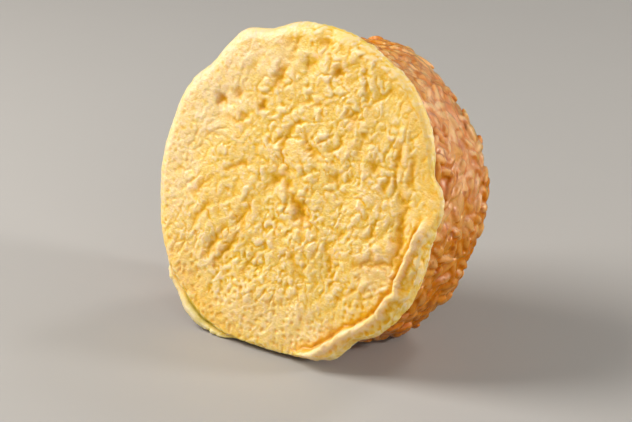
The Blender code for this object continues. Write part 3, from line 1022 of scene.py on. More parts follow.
    def skin(self, across: Array, up: Array) -> Array:
        """Gives the skin's own relief, without folds, dents and creases.

        Args:
            across: millimetres to the right of the middle.
            up: millimetres above it.

        Returns:
            The height at each place.
        """
        calm = np.ones(across.shape)
        for patch in CALM:
            calm *= 1.0 - patch.share(across, up)
        height = self.puffed(across, up) * calm
        for number, (pitch, tall) in enumerate(self.swells):
            height += tall * self.noise(Seed.SWELLS + number).at(across / pitch, up / pitch)
        for number, (pitch, tall) in enumerate(self.fine):
            height += tall * self.noise(Seed.FINE + number).at(across / pitch, up / pitch)
        apart, _, draw = Specks(Seed.PITS).nearest(across / self.pit_pitch, up / self.pit_pitch)
        size = self.pit_radius * (0.5 + draw) / self.pit_pitch
        pits = self.pit_depth * np.exp(-((apart / size) ** 2)) * (draw > self.pits_missing)
        return height - self.sink - pits * strongest(PITTED, across, up)

    def hollowed(self, across: Array, up: Array) -> Array:
        """Gives the depth of the named dents and creases.

        Args:
            across: millimetres to the right of the middle.
            up: millimetres above it.

        Returns:
            The depth at each place.
        """
        at = across / self.push_pitch, up / self.push_pitch
        x = across + self.push * self.noise(Seed.PUSH).at(*at)
        y = up + self.push * self.noise(Seed.PUSH + 1).at(*at)
        at_ends, bulk = 0.45, 1.5  # depth of a crease at its ends, and how steep its sides are
        depth = np.zeros(across.shape)
        for dent in DENTS:
            apart = np.hypot(x - dent.across, y - dent.up) / dent.radius
            depth += dent.depth * np.exp(-(apart**2))
        for crease in CREASES:
            run_x, run_y = crease.to_across - crease.across, crease.to_up - crease.up
            along = (x - crease.across) * run_x + (y - crease.up) * run_y
            along = np.clip(along / (run_x**2 + run_y**2), 0.0, 1.0)
            off_x = x - crease.across - along * run_x
            off_y = y - crease.up - along * run_y
            apart = np.hypot(off_x, off_y) / crease.half
            fade = at_ends + (1.0 - at_ends) * np.sin(np.pi * along)
            depth += crease.depth * fade * np.exp(-(apart**bulk))
        return depth

    def fold(self, across: Array, up: Array) -> tuple[Array, Array]:
        """Shapes the rim where it folds over the face at the lower right.

        Args:
            across: millimetres to the right of the middle.
            up: millimetres above it.

        Returns:
            The fold's height at each place, and how deep in the groove at its foot it is,
            from 0 to 1.
        """
        clock = clock_of(across, up)
        start, end = self.fold_ends
        strength = ease((clock - start) / self.fold_fade) * ease((end - clock) / self.fold_fade)
        wavy, pitch = 0.35, 2.2  # how far its ridge strays, and over what length
        crest = read_table(FOLD_CREST, clock)
        crest += wavy * self.noise(Seed.FOLD).at(across / pitch, up / pitch)
        beyond = np.hypot(across, up) - crest
        inner = ease(1.0 + beyond / self.fold_foot)
        outer = 1.0 - self.fold_slope * ease(beyond / self.fold_back)
        bead_at, bead_height = 0.7, 0.22  # behind the ridge, and as a share of the fold
        groove_at, groove_half, groove_depth = 1.2 * self.fold_foot, 0.8, 0.35
        bead = bead_height * np.exp(-((beyond - bead_at) ** 2))
        groove = strength * np.exp(-(((beyond + groove_at) / groove_half) ** 2))
        height = strength * self.fold_height * (np.where(beyond < 0.0, inner, outer) + bead)
        return height - groove_depth * groove, groove

    def section(self, clock: Array) -> tuple[Array, Array, Array, Array]:
        """Draws the sheet from the end of the flat face round the rim to its inner corner.

        Args:
            clock: the clock angle of each section.

        Returns:
            For each section and row: radius, out, the direction in which the skin's relief
            stands there, as radius and out, and the distance along the skin from the middle.
        """
        outer, roll, _, hug = self.rim_at(clock)
        edge = self.edge_at(clock)
        angle = np.radians(clock)
        side = self.rice_radius + self.rice_shift[0] * np.sin(angle)
        side = side + self.rice_shift[1] * np.cos(angle) + self.gap + self.wall
        turned = (clock - self.flap_clock + 180.0) % 360.0 - 180.0
        flap = np.exp(-((turned / self.flap_spread) ** 4))
        rows = []
        for row in range(1, self.roll_rows + 1):
            turn = math.pi / 2 * row / self.roll_rows
            rows.append(
                (
                    outer - roll * (1.0 - math.sin(turn)),
                    -roll * (1.0 - math.cos(turn)),
                    np.full(clock.shape, math.sin(turn)),
                    np.full(clock.shape, math.cos(turn)),
                    outer - roll + roll * turn,
                )
            )
        skin = outer - roll + roll * math.pi / 2
        lip = self.wall / 2
        bends, reaches, drops = np.array(self.flap).T
        waves, wave_degrees = 0.16, 6.0  # of the flap's edge
        wave = 1.0 + waves * self.noise(Seed.FLAP).at(clock / wave_degrees, 0.0 * clock)
        facing = flap * self.flap_facing
        for row in range(1, self.skirt_rows + 1):
            share = row / self.skirt_rows
            down = roll + (edge - lip - roll) * share
            radius = outer + np.minimum(0.0, side - outer) * ease((down - roll) / hug)
            radius = radius + flap * wave * np.interp(share, bends, reaches)
            dropped = down + flap * np.interp(share, bends, drops)
            rows.append((radius, -dropped, np.cos(facing), np.sin(facing), skin + down - roll))
        rim, low = rows[-1][0] - lip, rows[-1][1]
        skin = skin + edge - lip - roll
        for row in range(1, self.lip_rows + 1):
            turn = math.pi * row / self.lip_rows
            rows.append(
                (
                    rim + lip * math.cos(turn),
                    low - lip * math.sin(turn),
                    np.full(clock.shape, math.cos(turn)),
                    np.full(clock.shape, -math.sin(turn)),
                    skin + lip * turn,
                )
            )
        zero = np.zeros(clock.shape)
        rows.append((outer - self.wall - self.corner, zero - self.sheet, zero, zero, skin))
        radius, out, lean_radius, lean_out, along = (np.array(part) for part in zip(*rows))
        return radius, out, np.stack([lean_radius, lean_out], -1), along

    def disc(self) -> tuple[Array, Array, list]:
        """Lays out the flat of the face as rings of even triangles. Ring n holds 6n points.

        Returns:
            Across and up of each point, and the triangles.
        """
        clocks, shares = [0.0], [0.0]
        starts = [0]
        for ring in range(1, self.rings + 1):
            starts.append(len(clocks))
            clocks.extend(60.0 * step / ring for step in range(6 * ring))
            shares.extend([ring / self.rings] * (6 * ring))
        clock, share = np.array(clocks), np.array(shares)
        outer, roll, _, _ = self.rim_at(clock[starts[-1] :])
        rim_clock = np.append(clock[starts[-1] :], 360.0)
        rim = np.interp(clock, rim_clock, np.append(outer - roll, outer[0] - roll[0]))
        across, up = on_clock(clock, rim * share)
        faces = []
        for ring in range(1, self.rings + 1):
            inner, start = starts[ring - 1], starts[ring]
            around, within = 6 * ring, max(1, 6 * (ring - 1))
            for sector in range(6):
                for step in range(ring):
                    a = start + sector * ring + step
                    b = start + (sector * ring + step + 1) % around
                    c = inner + (sector * (ring - 1) + step) % within
                    faces.append((a, c, b))
                    if step < ring - 1:
                        d = inner + (sector * (ring - 1) + step + 1) % within
                        faces.append((c, d, b))
        return across, up, faces

    def build(self) -> bpy.types.Object:
        """Builds the omelette.

        Returns:
            The piece.
        """
        across, up, faces = self.disc()
        sunk = self.hollowed(across, up)
        fold, groove = self.fold(across, up)
        lift = self.skin(across, up) - self.hollow * sunk + fold
        face = np.stack([across, up, lift], -1)
        count = 6 * self.rings
        clock = 360.0 * np.arange(count) / count
        radius, out, lean, along = self.section(clock)
        rim = face[-count:]
        rim_skin = self.skin(rim[:, 0], rim[:, 1])
        extra = rim[:, 2] - rim_skin
        rows = [face]
        for row in range(len(radius)):
            skin = self.skin(*on_clock(clock, along[row]))
            keep = 1.0 - ease(np.array((row + 1) / self.roll_rows))
            raised = radius[row] + skin * lean[row][:, 0]
            x, y = on_clock(clock, raised)
            rows.append(np.stack([x, y, out[row] + skin * lean[row][:, 1] + extra * keep], -1))
        faces.extend(bands(len(face) - count, len(radius), count))
        rows.append(np.array([[0.0, 0.0, -self.sheet]]))
        points = np.concatenate(rows)
        last = len(points) - 1
        inner = last - count
        faces.extend((inner + step, inner + (step + 1) % count, last) for step in range(count))
        world = rest_on_table(self.stance.place(points), self.table_reach)
        piece = make_piece("omelette", world, faces, self.finish.material())
        mesh = piece.data
        x, y, z = points.T
        turned, far = clock_of(x, y), np.hypot(x, y)
        # The rim's painted shade: a deeper yellow over the rim, added to the valleys.
        (yellow,) = round_the_clock(RIM_PAINTED_SHADE, turned)
        yellow *= ease((far - self.rim_shade_from) / self.rim_shade_fade)
        # How far each corner lies in a hollow, kept for the painted shade in creases and valleys; the
        # rim's painted shade adds to the valleys.
        for name, rounds, more in (
            ("crease", self.crease_rounds, 0.0),
            ("painted_valley_shade", self.valley_rounds, yellow),
        ):
            depth = hollows(mesh, rounds)
            store(mesh, name, depth / (2.0 * depth[: len(face)].std()) + more)
        # deep: painted shade, a deeper yellow laid in the named dents, the fold's groove and the groove
        # beside the flap.
        deep = np.zeros(len(points))
        shade_in_dents, shade_in_fold, shade_by_flap = 0.75, 0.9, 0.8  # strength of the painted shade, a deeper yellow
        deep[: len(face)] = np.clip(np.maximum(shade_in_dents * sunk, shade_in_fold * groove), 0.0, 1.0)
        groove_out, groove_half, groove_wide = -2.6, 0.8, 1.2  # of the groove beside the flap
        off_flap = (turned - self.flap_clock) / self.flap_spread
        flap_groove_shade = np.exp(-(off_flap**4) - ((z - groove_out) / groove_half) ** 2)
        beside = far < np.interp(turned, clock, radius[self.roll_rows] + groove_wide)
        deep[len(face) :] = (shade_by_flap * flap_groove_shade * beside)[len(face) :]
        store(mesh, "deep", deep)
        # Paler patches: partly browning, partly painted light.
        store(mesh, "tan_and_lit", strongest(BROWNED_AND_LIT, x, y))
        return piece


@dataclass(frozen=True)
class GrainShape:
    """One shape of cooked grain, drawn at length, width and height 1."""

    name: str
    bend: float
    taper: float  # how much thinner its far end is
    flat: float  # how flat its top is pressed
    sides: int = 10
    rings: int = 6
    end: float = 0.47  # of its first and last ring from its middle
    blunt: float = 3.2  # how blunt its ends are

    def build(self, home: bpy.types.Collection) -> bpy.types.Object:
        """Builds the grain in a collection.

        Args:
            home: the collection.

        Returns:
            The grain.
        """
        points = [(-0.5, self.bend, 0.0)]
        for ring in range(self.rings):
            at = -self.end + 2.0 * self.end * ring / (self.rings - 1)
            round_end = (1.0 - abs(2.0 * at) ** self.blunt) ** 0.5
            girth = 0.5 * round_end * (1.0 - self.taper * (at + 0.5))
            for side in range(self.sides):
                angle = 2.0 * math.pi * (side + 0.5 * (ring % 2)) / self.sides
                y = girth * math.cos(angle)
                z = girth * math.copysign(abs(math.sin(angle)) ** self.flat, math.sin(angle))
                points.append((at, y + self.bend * 4.0 * at * at, z))
        points.append((0.5, self.bend, 0.0))
        faces = []
        for side in range(self.sides):
            nxt = (side + 1) % self.sides
            faces.append((0, 1 + nxt, 1 + side))
            last = 1 + (self.rings - 1) * self.sides
            faces.append((last + side, last + nxt, len(points) - 1))
            for ring in range(self.rings - 1):
                here, there = 1 + ring * self.sides, 1 + (ring + 1) * self.sides
                if ring % 2 == 0:
                    faces.append((here + side, here + nxt, there + side))
                    faces.append((here + nxt, there + nxt, there + side))
                else:
                    faces.append((here + side, here + nxt, there + nxt))
                    faces.append((here + side, there + nxt, there + side))
        mesh = bpy.data.meshes.new(self.name)
        mesh.from_pydata(points, [], faces)
        grain = bpy.data.objects.new(self.name, mesh)
        home.objects.link(grain)
        return grain


GRAIN_SHAPES = (
    GrainShape("grain_straight", 0.0, 0.10, 0.8),
    GrainShape("grain_bent", 0.10, 0.05, 0.85),
    GrainShape("grain_bent_back", -0.12, 0.15, 0.8),
    GrainShape("grain_tapered", 0.04, 0.35, 0.9),
    GrainShape("grain_squashed", -0.03, -0.10, 0.65),
)


@dataclass(frozen=True)
class GrainPlan:
    """How the grains lie."""

    spacing: float = 4.0  # between grains along the cake's profile
    rise: tuple[float, float] = (-0.30, 0.40)  # of grains over the surface, mean and spread
    rise_limits: tuple[float, float] = (-1.2, 0.8)
    tilt: float = 20.0  # degrees that a grain may tip
    smallest: tuple[float, float, float] = (4.8, 2.4, 2.2)  # length, width and height, mm
    largest: tuple[float, float, float] = (7.6, 3.3, 3.0)
    overlap: float = 0.12  # of neighbours, as a share of their width
    rounds: int = 60  # of pushing the grains apart
    merge: float = 0.36  # millimetres from corner to corner of the merged surface
    kept: float = 0.40  # share of its triangles that are kept, most of them where it bends
    seed: int = 21

    @property
    def mean(self) -> tuple[float, float, float]:
        """Length, width and height of a middling grain."""
        return tuple((small + large) / 2.0 for small, large in zip(self.smallest, self.largest))


@dataclass(frozen=True)
class GrainMerging:
    """The node tree that puts a grain on each place and presses them all into the core."""

    plan: GrainPlan

    def tree(self) -> bpy.types.NodeTree:
        """Builds the tree.

        Returns:
            The tree, with its sizes as named inputs.
        """
        tree = bpy.data.node_groups.new("pressed_grains", "GeometryNodeTree")
        for name, kind in (
            ("Places", "Geometry"),
            ("Grains", "Collection"),
            ("Core", "Object"),
            ("Smallest", "Vector"),
            ("Largest", "Vector"),
            ("Seed", "Int"),
            ("Pitch", "Float"),
            ("Finish", "Material"),
        ):
            tree.interface.new_socket(name, in_out="INPUT", socket_type="NodeSocket" + kind)
        tree.interface.new_socket("Rice", in_out="OUTPUT", socket_type="NodeSocketGeometry")
        given = tree.nodes.new("NodeGroupInput").outputs

        def add(kind: str, feeds: dict, **settings: object) -> bpy.types.bpy_prop_collection:
            """Adds a node.

            Args:
                kind: the node's type.
                feeds: an output socket or a plain value for each of its inputs.
                **settings: its properties.

            Returns:
                The node's outputs.
            """
            node = tree.nodes.new(kind)
            for key, value in settings.items():
                setattr(node, key, value)
            for key, value in feeds.items():
                if isinstance(value, bpy.types.NodeSocket):
                    tree.links.new(value, node.inputs[key])
                else:
                    node.inputs[key].default_value = value
            return node.outputs

        kinds = add(
            "GeometryNodeCollectionInfo",
            {"Collection": given["Grains"], "Separate Children": True, "Reset Children": True},
        )
        size = add(
            "FunctionNodeRandomValue",
            {0: given["Smallest"], 1: given["Largest"], "Seed": given["Seed"]},
            data_type="FLOAT_VECTOR",
        )
        kind = add(
            "FunctionNodeRandomValue",
            {4: 0, 5: len(GRAIN_SHAPES) - 1, "Seed": given["Seed"]},
            data_type="INT",
        )
        lie = add("GeometryNodeInputNamedAttribute", {"Name": "lie"}, data_type="QUATERNION")
        put = add(
            "GeometryNodeInstanceOnPoints",
            {
                "Points": given["Places"],
                "Instance": kinds[0],
                "Pick Instance": True,
                "Instance Index": kind[2],
                "Rotation": lie["Attribute"],
                "Scale": size[0],
            },
        )
        real = add("GeometryNodeRealizeInstances", {"Geometry": put["Instances"]})
        core = add("GeometryNodeObjectInfo", {"Object": given["Core"]})
        both = add("GeometryNodeJoinGeometry", {"Geometry": core["Geometry"]})
        tree.links.new(real["Geometry"], both["Geometry"].node.inputs["Geometry"])
        band, level = 4.0 * self.plan.merge * MM, 0.1  # how the merged grains' skin is found
        filled = add(
            "GeometryNodeMeshToVolume",
            {"Mesh": both["Geometry"], "Voxel Size": given["Pitch"], "Interior Band Width": band},
            resolution_mode="VOXEL_SIZE",
        )
        skin = add(
            "GeometryNodeVolumeToMesh",
            {"Volume": filled["Volume"], "Voxel Size": given["Pitch"], "Threshold": level},
            resolution_mode="VOXEL_SIZE",
        )
        dressed = add(
            "GeometryNodeSetMaterial", {"Geometry": skin["Mesh"], "Material": given["Finish"]}
        )
        add("NodeGroupOutput", {"Rice": dressed["Geometry"]})
        return tree

    def realise(
        self, strewn: bpy.types.Object, core: bpy.types.Object, finish: bpy.types.Material
    ) -> bpy.types.Mesh:
        """Runs the tree on an object of loose points and removes that object.

        Args:
            strewn: the places, with how each grain lies.
            core: the core that the grains are pressed into.
            finish: the rice's material.

        Returns:
            The rice as a plain mesh.
        """
        home = bpy.data.collections.new("grain_shapes")
        grains = [shape.build(home) for shape in GRAIN_SHAPES]
        tree = self.tree()
        values = {
            "Grains": home,
            "Core": core,
            "Smallest": [size * MM for size in self.plan.smallest],
            "Largest": [size * MM for size in self.plan.largest],
            "Seed": self.plan.seed,
            "Pitch": self.plan.merge * MM,
            "Finish": finish,
        }
        press = strewn.modifiers.new("grains", "NODES")
        press.node_group = tree
        for socket in tree.interface.items_tree:
            if socket.item_type == "SOCKET" and socket.name in values:
                press[socket.identifier] = values[socket.name]
        thin = strewn.modifiers.new("thin", "DECIMATE")
        thin.ratio = self.plan.kept
        bpy.context.view_layer.update()
        graph = bpy.context.evaluated_depsgraph_get()
        mesh = bpy.data.meshes.new_from_object(
            strewn.evaluated_get(graph), preserve_all_data_layers=True, depsgraph=graph
        )
        strewn.modifiers.clear()
        for spare in (strewn, core, *grains):
            bpy.data.objects.remove(spare)
        bpy.data.collections.remove(home)
        return mesh


@dataclass(frozen=True)
class Bulge:
    """A place of the rounded back edge where the rice bulges, or is hollow."""

    clock: float
    turn: float  # degrees round the edge
    reach: float
    height: float


BULGES = (
    Bulge(9.0, 12.0, 7.0, 1.1),
    Bulge(44.0, 33.0, 8.0, -1.1),
    Bulge(59.0, 29.0, 5.0, 1.4),
    Bulge(75.0, 31.0, 4.0, 1.2),
    Bulge(87.0, 31.0, 3.2, 1.3),
    Bulge(77.0, -74.0, 3.0, -2.4),
)


@dataclass
class RiceCake:
    """The round cake of ketchup rice."""

    stance: Stance
    finish: RiceFinish
    plan: GrainPlan
    shift: tuple[float, float] = (-0.6, 0.6)  # of its middle from the face's middle
    radius: float = 38.5
    depth: float = 36.4
    front: float = 2.7
    front_round: float = 3.0
    back_round: float = 13.5
    crown: float = 0.8
    bulges: tuple[Bulge, ...] = BULGES
    lumps: float = 0.8
    lump_pitch: float = 10.0
    core_segments: int = 300
    core_pitch: float = 0.8
    bump_pitch: float = 2.4
    bump_height: float = 0.5
    sauce: tuple[tuple[float, float], ...] = (  # clock angle, level over the solid's surface
        (0.0, 0.28), (40.0, 0.28), (60.0, 0.12), (75.0, -0.05), (95.0, -0.10), (140.0, -0.05),
        (250.0, 0.0), (360.0, 0.28),
    )
    core_sink: float = 0.15  # of the core's bumps below the solid's own surface
    soaked_and_shaded: tuple[tuple[float, float], ...] = (  # clock angle, share of sauce colour in the grains, more towards the bottom, where it is also painted shade
        (0.0, 0.05), (60.0, 0.10), (95.0, 0.30), (120.0, 0.65), (140.0, 0.85), (200.0, 0.60),
        (270.0, 0.20), (360.0, 0.05),
    )
    pressed: tuple[tuple[float, float], ...] = (  # clock angle, how much the seams are hidden
        (0.0, 0.05), (50.0, 0.05), (75.0, 0.03), (100.0, 0.0), (250.0, 0.0), (300.0, 0.03),
        (360.0, 0.05),
    )
    pale_clock: float = 104.0  # where paler grains lie along the omelette's edge
    pale_spread: float = 17.0
    pale_reach: float = 5.5
    pressed_at: float = 1.5  # height over the solid's surface at which the mould flattened it
    wetting: int = 1  # rounds by which sauce rounds off the seams between grains
    table_reach: float = 1.2
    clearance: float = 0.5  # kept between the omelette's skirt and a grain

    @property
    def side(self) -> float:
        """Length of the straight side of the profile."""
        return self.depth - self.back_round - self.front

    @property
    def curve(self) -> float:
        """Length of the rounded back edge of the profile."""
        return self.back_round * math.pi / 2

    @property
    def back(self) -> float:
        """Radius of the flat of the back."""
        return self.radius - self.back_round

    @property
    def length(self) -> float:
        """Length of the profile from the front of the side to the middle of the back."""
        return self.side + self.curve + self.back

    def profile(self, run: Array) -> tuple[Array, Array, Array]:
        """Finds points along the profile, from the front of the side to the back's middle.

        Args:
            run: millimetres along the profile.

        Returns:
            Radius, depth and the angle by which the surface has turned to the back.
        """
        angle = np.clip((run - self.side) / self.back_round, 0.0, math.pi / 2)
        over = np.clip(run - self.side - self.curve, 0.0, self.back)
        radius = self.back + self.back_round * np.cos(angle) - over
        depth = self.front + np.minimum(run, self.side) + self.back_round * np.sin(angle)
        bulge = self.crown * (1.0 - (radius / self.back) ** 2)
        return radius, depth + np.where(over > 0.0, bulge, 0.0), angle

    def nearest(self, places: Array) -> tuple[Array, Array]:
        """Finds the run and clock angle of the surface point nearest to each place.

        Args:
            places: across, up and out from the cake's middle.

        Returns:
            Runs along the profile, and clock angles.
        """
        radius = np.hypot(places[:, 0], places[:, 1])
        depth = -places[:, 2]
        turn = self.front + self.side
        angle = np.arctan2(depth - turn, radius - self.back)
        run = np.where(depth < turn, depth - self.front, self.side + self.back_round * angle)
        on_back = (radius < self.back) & (depth > turn)
        run = np.where(on_back, self.side + self.curve + self.back - radius, run)
        return np.clip(run, 0.0, self.length), clock_of(places[:, 0], places[:, 1])

    def frames(self, run: Array, clock: Array) -> tuple[Array, Array, Array, Array]:
        """Finds places on the cake and how its surface lies there.

        Args:
            run: millimetres along the profile.
            clock: clock angles.

        Returns:
            Places from the cake's middle, and the directions outwards, round the cake and
            towards its back.
        """
        radius, depth, angle = self.profile(run)
        across, up = on_clock(clock, np.ones(clock.shape))
        zero = np.zeros(clock.shape)
        outwards = np.stack([across * np.cos(angle), up * np.cos(angle), -np.sin(angle)], -1)
        around = np.stack([up, -across, zero], -1)
        back = np.stack([-across * np.sin(angle), -up * np.sin(angle), -np.cos(angle)], -1)
        places = np.stack([across * radius, up * radius, -depth], -1)
        lump = self.lumps * self.lumpy(places) * (depth > self.front + self.front_round)
        for bulge in self.bulges:
            at = np.array([self.side + self.back_round * math.radians(bulge.turn)])
            far, deep, _ = self.profile(at)
            spot = np.array([*on_clock(bulge.clock, far[0]), -deep[0]])
            apart = ((places - spot) ** 2).sum(1) / bulge.reach**2
            lump = lump + bulge.height * np.exp(-apart)
        return places + outwards * lump[:, None], outwards, around, back

    def lumpy(self, places: Array) -> Array:
        """Gives the solid's own lumps at places of the cake, about -1 to 1."""
        world = self.in_world(places) / (self.lump_pitch * MM)
        return np.array([noise.noise(Vector(spot)) for spot in world.tolist()])

    def in_world(self, places: Array) -> Array:
        """Turns places from the cake's middle, in millimetres, into metres of the world."""
        return self.stance.place(places + np.array([*self.shift, 0.0]))

    def from_world(self, points: Array) -> Array:
        """Turns metres of the world into places from the cake's middle, in millimetres."""
        return self.stance.unplace(points) - np.array([*self.shift, 0.0])

    def scatter(self, rng: np.random.Generator) -> tuple[Array, Array]:
        """Strews grains in even rows over the side and the back.

        Args:
            rng: source of the random draws.

        Returns:
            Runs along the profile, and clock angles.
        """
        spacing, stray = self.plan.spacing, 0.3  # how far a grain strays, as a share of it
        rows = round(self.length / spacing)
        runs, clocks = [], []
        for number in range(rows):
            run = (number + 0.5) * self.length / rows
            radius = float(self.profile(np.array([run]))[0][0])
            count = max(1, round(2.0 * math.pi * radius / spacing))
            step = np.arange(count) + 0.5 * (number % 2) + rng.uniform(-stray, stray, count)
            clocks.append(360.0 * step / count)
            runs.append(run + rng.uniform(-stray, stray, count) * spacing)
        return np.clip(np.concatenate(runs), 0.0, self.length), np.concatenate(clocks)

    def settle(self, limit: Array) -> tuple[Array, Array, Array]:
        """Pushes the grains apart until they lie side by side.

        Args:
            limit: depth at each degree of the clock that a grain's axis must keep behind.

        Returns:
            Places from the cake's middle, and the directions of their length and outwards.
        """
        plan = self.plan
        rng = np.random.default_rng(plan.seed)
        run, clock = self.scatter(rng)
        places, outwards, around, back = self.frames(run, clock)
        spin = rng.uniform(0.0, math.pi, len(run))
        lengthwise = around * np.cos(spin)[:, None] + back * np.sin(spin)[:, None]
        long, wide, _ = plan.mean
        reach = (long - wide) / 2.0
        offsets = np.array([-reach, 0.0, reach])
        apart = (1.0 - plan.overlap) * wide
        paired_each, paired_reach = 4, 1.35 * apart  # rounds from one pairing to the next
        slide, most_swing = 0.6, 0.25  # of a grain in a round
        for step in range(plan.rounds):
            beads = beads_of(places, lengthwise, offsets)
            flat = beads.reshape(-1, 3)
            if step % paired_each == 0:
                one, two = self.pairs(flat, paired_reach)
            gap = flat[one] - flat[two]
            far = np.maximum(np.linalg.norm(gap, axis=1), 1e-6)
            push = gap / far[:, None] * (0.5 * np.clip(apart - far, 0.0, None))[:, None]
            total = np.zeros(flat.shape)
            for axis in range(3):
                total[:, axis] = np.bincount(one, push[:, axis], len(flat))
                total[:, axis] -= np.bincount(two, push[:, axis], len(flat))
            total = total.reshape(-1, 3, 3)
            total[:, :, 2] -= self.crowding(beads, limit)
            sideways = np.cross(outwards, lengthwise)
            swing = (total * sideways[:, None, :]).sum(2) @ (offsets / (2.0 * reach**2))
            run, clock = self.nearest(places + total.sum(1) * slide)
            places, outwards, around, back = self.frames(run, clock)
            lengthwise = lengthwise + sideways * np.clip(swing, -most_swing, most_swing)[:, None]
            lengthwise -= outwards * (lengthwise * outwards).sum(1)[:, None]
            lengthwise = unit(lengthwise)
        return places, lengthwise, outwards

    def crowding(self, beads: Array, limit: Array) -> Array:
        """Gives how far each bead of a grain has to move back from the omelette's skirt.

        Args:
            beads: three places a grain, from the cake's middle.
            limit: depth at each degree of the clock that a grain's axis must keep behind.

        Returns:
            Millimetres for each bead.
        """
        clock = clock_of(beads[..., 0] + self.shift[0], beads[..., 1] + self.shift[1])
        kept = np.interp(clock.ravel(), np.arange(len(limit)), limit).reshape(clock.shape)
        most, share = 1.5, 0.5  # of the way back in one round
        return np.clip(kept + beads[..., 2], 0.0, most) * share

    @staticmethod
    def pairs(spots: Array, reach: float) -> tuple[Array, Array]:
        """Lists the beads of different grains that are near each other.

        Args:
            spots: the beads, three to a grain.
            reach: how near.

        Returns:
            The two numbers of each pair.
        """
        tree = tree_of(spots)
        found = []
        for number, spot in enumerate(spots.tolist()):
            for _, other, _ in tree.find_range(spot, reach):
                if other > number and other // 3 != number // 3:
                    found.append((number, other))
        one, two = np.array(found).T
        return one, two

    def build_core(self) -> bpy.types.Object:
        """Builds the sauce-coloured core under the grains.

        Returns:
            The core, which goes into the rice.
        """
        rows = round(self.length / self.core_pitch)
        runs = np.linspace(0.0, self.length, rows + 1)[:-1]
        clock = 360.0 * np.arange(self.core_segments) / self.core_segments
        run, turn = (part.ravel() for part in np.meshgrid(runs, clock, indexing="ij"))
        places, outwards, _, _ = self.frames(run, turn)
        radius = np.hypot(places[:, 0], places[:, 1])
        smallest_turn, steep, lowest = 12.0, 3.0, 0.6
        x = np.radians(turn) * np.maximum(radius, smallest_turn) / self.bump_pitch
        _, border, draw = Specks(Seed.CORE).nearest(x, run / self.bump_pitch)
        bump = self.bump_height * (1.0 - np.exp(-steep * border)) * (lowest + (1.0 - lowest) * draw)
        places = places + outwards * (bump - self.core_sink - self.bump_height)[:, None]
        across, up = on_clock(clock, np.full(clock.shape, self.radius - self.front_round))
        front = np.stack([across, up, np.full(clock.shape, -self.front)], -1)
        tail = -self.depth - self.crown + self.core_sink
        middle = np.array([[0.0, 0.0, -self.front], [0.0, 0.0, tail]])
        points = np.concatenate([front, places, middle])
        count = self.core_segments
        faces = bands(0, rows, count)
        for step in range(count):
            nxt = (step + 1) % count
            faces.append((len(points) - 2, nxt, step))
            faces.append((len(points) - 1, rows * count + step, rows * count + nxt))
        mesh = bpy.data.meshes.new("rice_core")
        mesh.from_pydata(self.in_world(points).tolist(), [], faces)
        core = bpy.data.objects.new("rice_core", mesh)
        bpy.context.scene.collection.objects.link(core)
        return core

    def build(self, edge: Array) -> bpy.types.Object:
        """Builds the rice.

        Args:
            edge: depth of the omelette's edge at each degree of the clock.

        Returns:
            The piece.
        """
        plan = self.plan
        rng = np.random.default_rng(plan.seed + 1)
        limit = edge + self.clearance + plan.mean[1] / 2.0
        places, lengthwise, outwards = self.settle(limit)
        rise = rng.normal(*plan.rise, len(places))
        places = places + outwards * np.clip(rise, *plan.rise_limits)[:, None]
        tilt = np.radians(rng.uniform(-plan.tilt, plan.tilt, len(places)))[:, None]
        lengthwise = unit(lengthwise * np.cos(tilt) + outwards * np.sin(tilt))
        sideways = unit(np.cross(outwards, lengthwise))
        outwards = np.cross(lengthwise, sideways)
        axes = np.stack([self.stance.turn(part) for part in (lengthwise, sideways, outwards)], -1)
        turns = [tuple(Matrix(rows).to_quaternion()) for rows in axes.tolist()]
        seeds = bpy.data.meshes.new("grain_places")
        seeds.from_pydata(self.in_world(places).tolist(), [], [])
        lie = seeds.attributes.new("lie", "QUATERNION", "POINT")
        lie.data.foreach_set("value", np.array(turns).ravel())
        strewn = bpy.data.objects.new("grain_places", seeds)
        bpy.context.scene.collection.objects.link(strewn)
        mesh = GrainMerging(plan).realise(strewn, self.build_core(), self.finish.material())
        points = softened(mesh, self.fill(corners(mesh)), self.wetting)
        self.measure(mesh, points, places, lengthwise)
        mesh.vertices.foreach_set("co", rest_on_table(points, self.table_reach).ravel())
        mesh.shade_smooth()
        mesh.name = "pressed_rice"
        piece = bpy.data.objects.new("pressed_rice", mesh)
        bpy.context.scene.collection.objects.link(piece)
        return piece

    def over_surface(self, spots: Array) -> tuple[Array, Array, Array, Array]:
        """Measures how high places stand over the solid's surface.

        Args:
            spots: across, up and out from the cake's middle.

        Returns:
            The run, clock angle and direction outwards of the surface there, and the height.
        """
        run, clock = self.nearest(spots)
        surface, outwards, _, _ = self.frames(run, clock)
        return run, clock, outwards, ((spots - surface) * outwards).sum(1)

    def fill(self, points: Array) -> Array:
        """Fills the deepest gaps between the grains with sauce.

        Args:
            points: the rice's corners, in metres.

        Returns:
            The corners with the gaps filled.
        """
        spots = self.from_world(points)
        run, clock, outwards, height = self.over_surface(spots)
        uneven, turns, pitch = 0.25, 20.0, 2.0  # of the sauce's level
        level = uneven * Unevenness(Seed.SAUCE).at(np.radians(clock) * turns, run / pitch)
        level += read_table(self.sauce, clock)
        stiff, behind = 4.0, 0.2
        raised = level + np.logaddexp(0.0, stiff * (height - level)) / stiff
        raised = self.pressed_at - np.logaddexp(0.0, stiff * (self.pressed_at - raised)) / stiff
        free = spots[:, 2] < -self.front - behind
        return self.in_world(spots + outwards * ((raised - height) * free)[:, None])

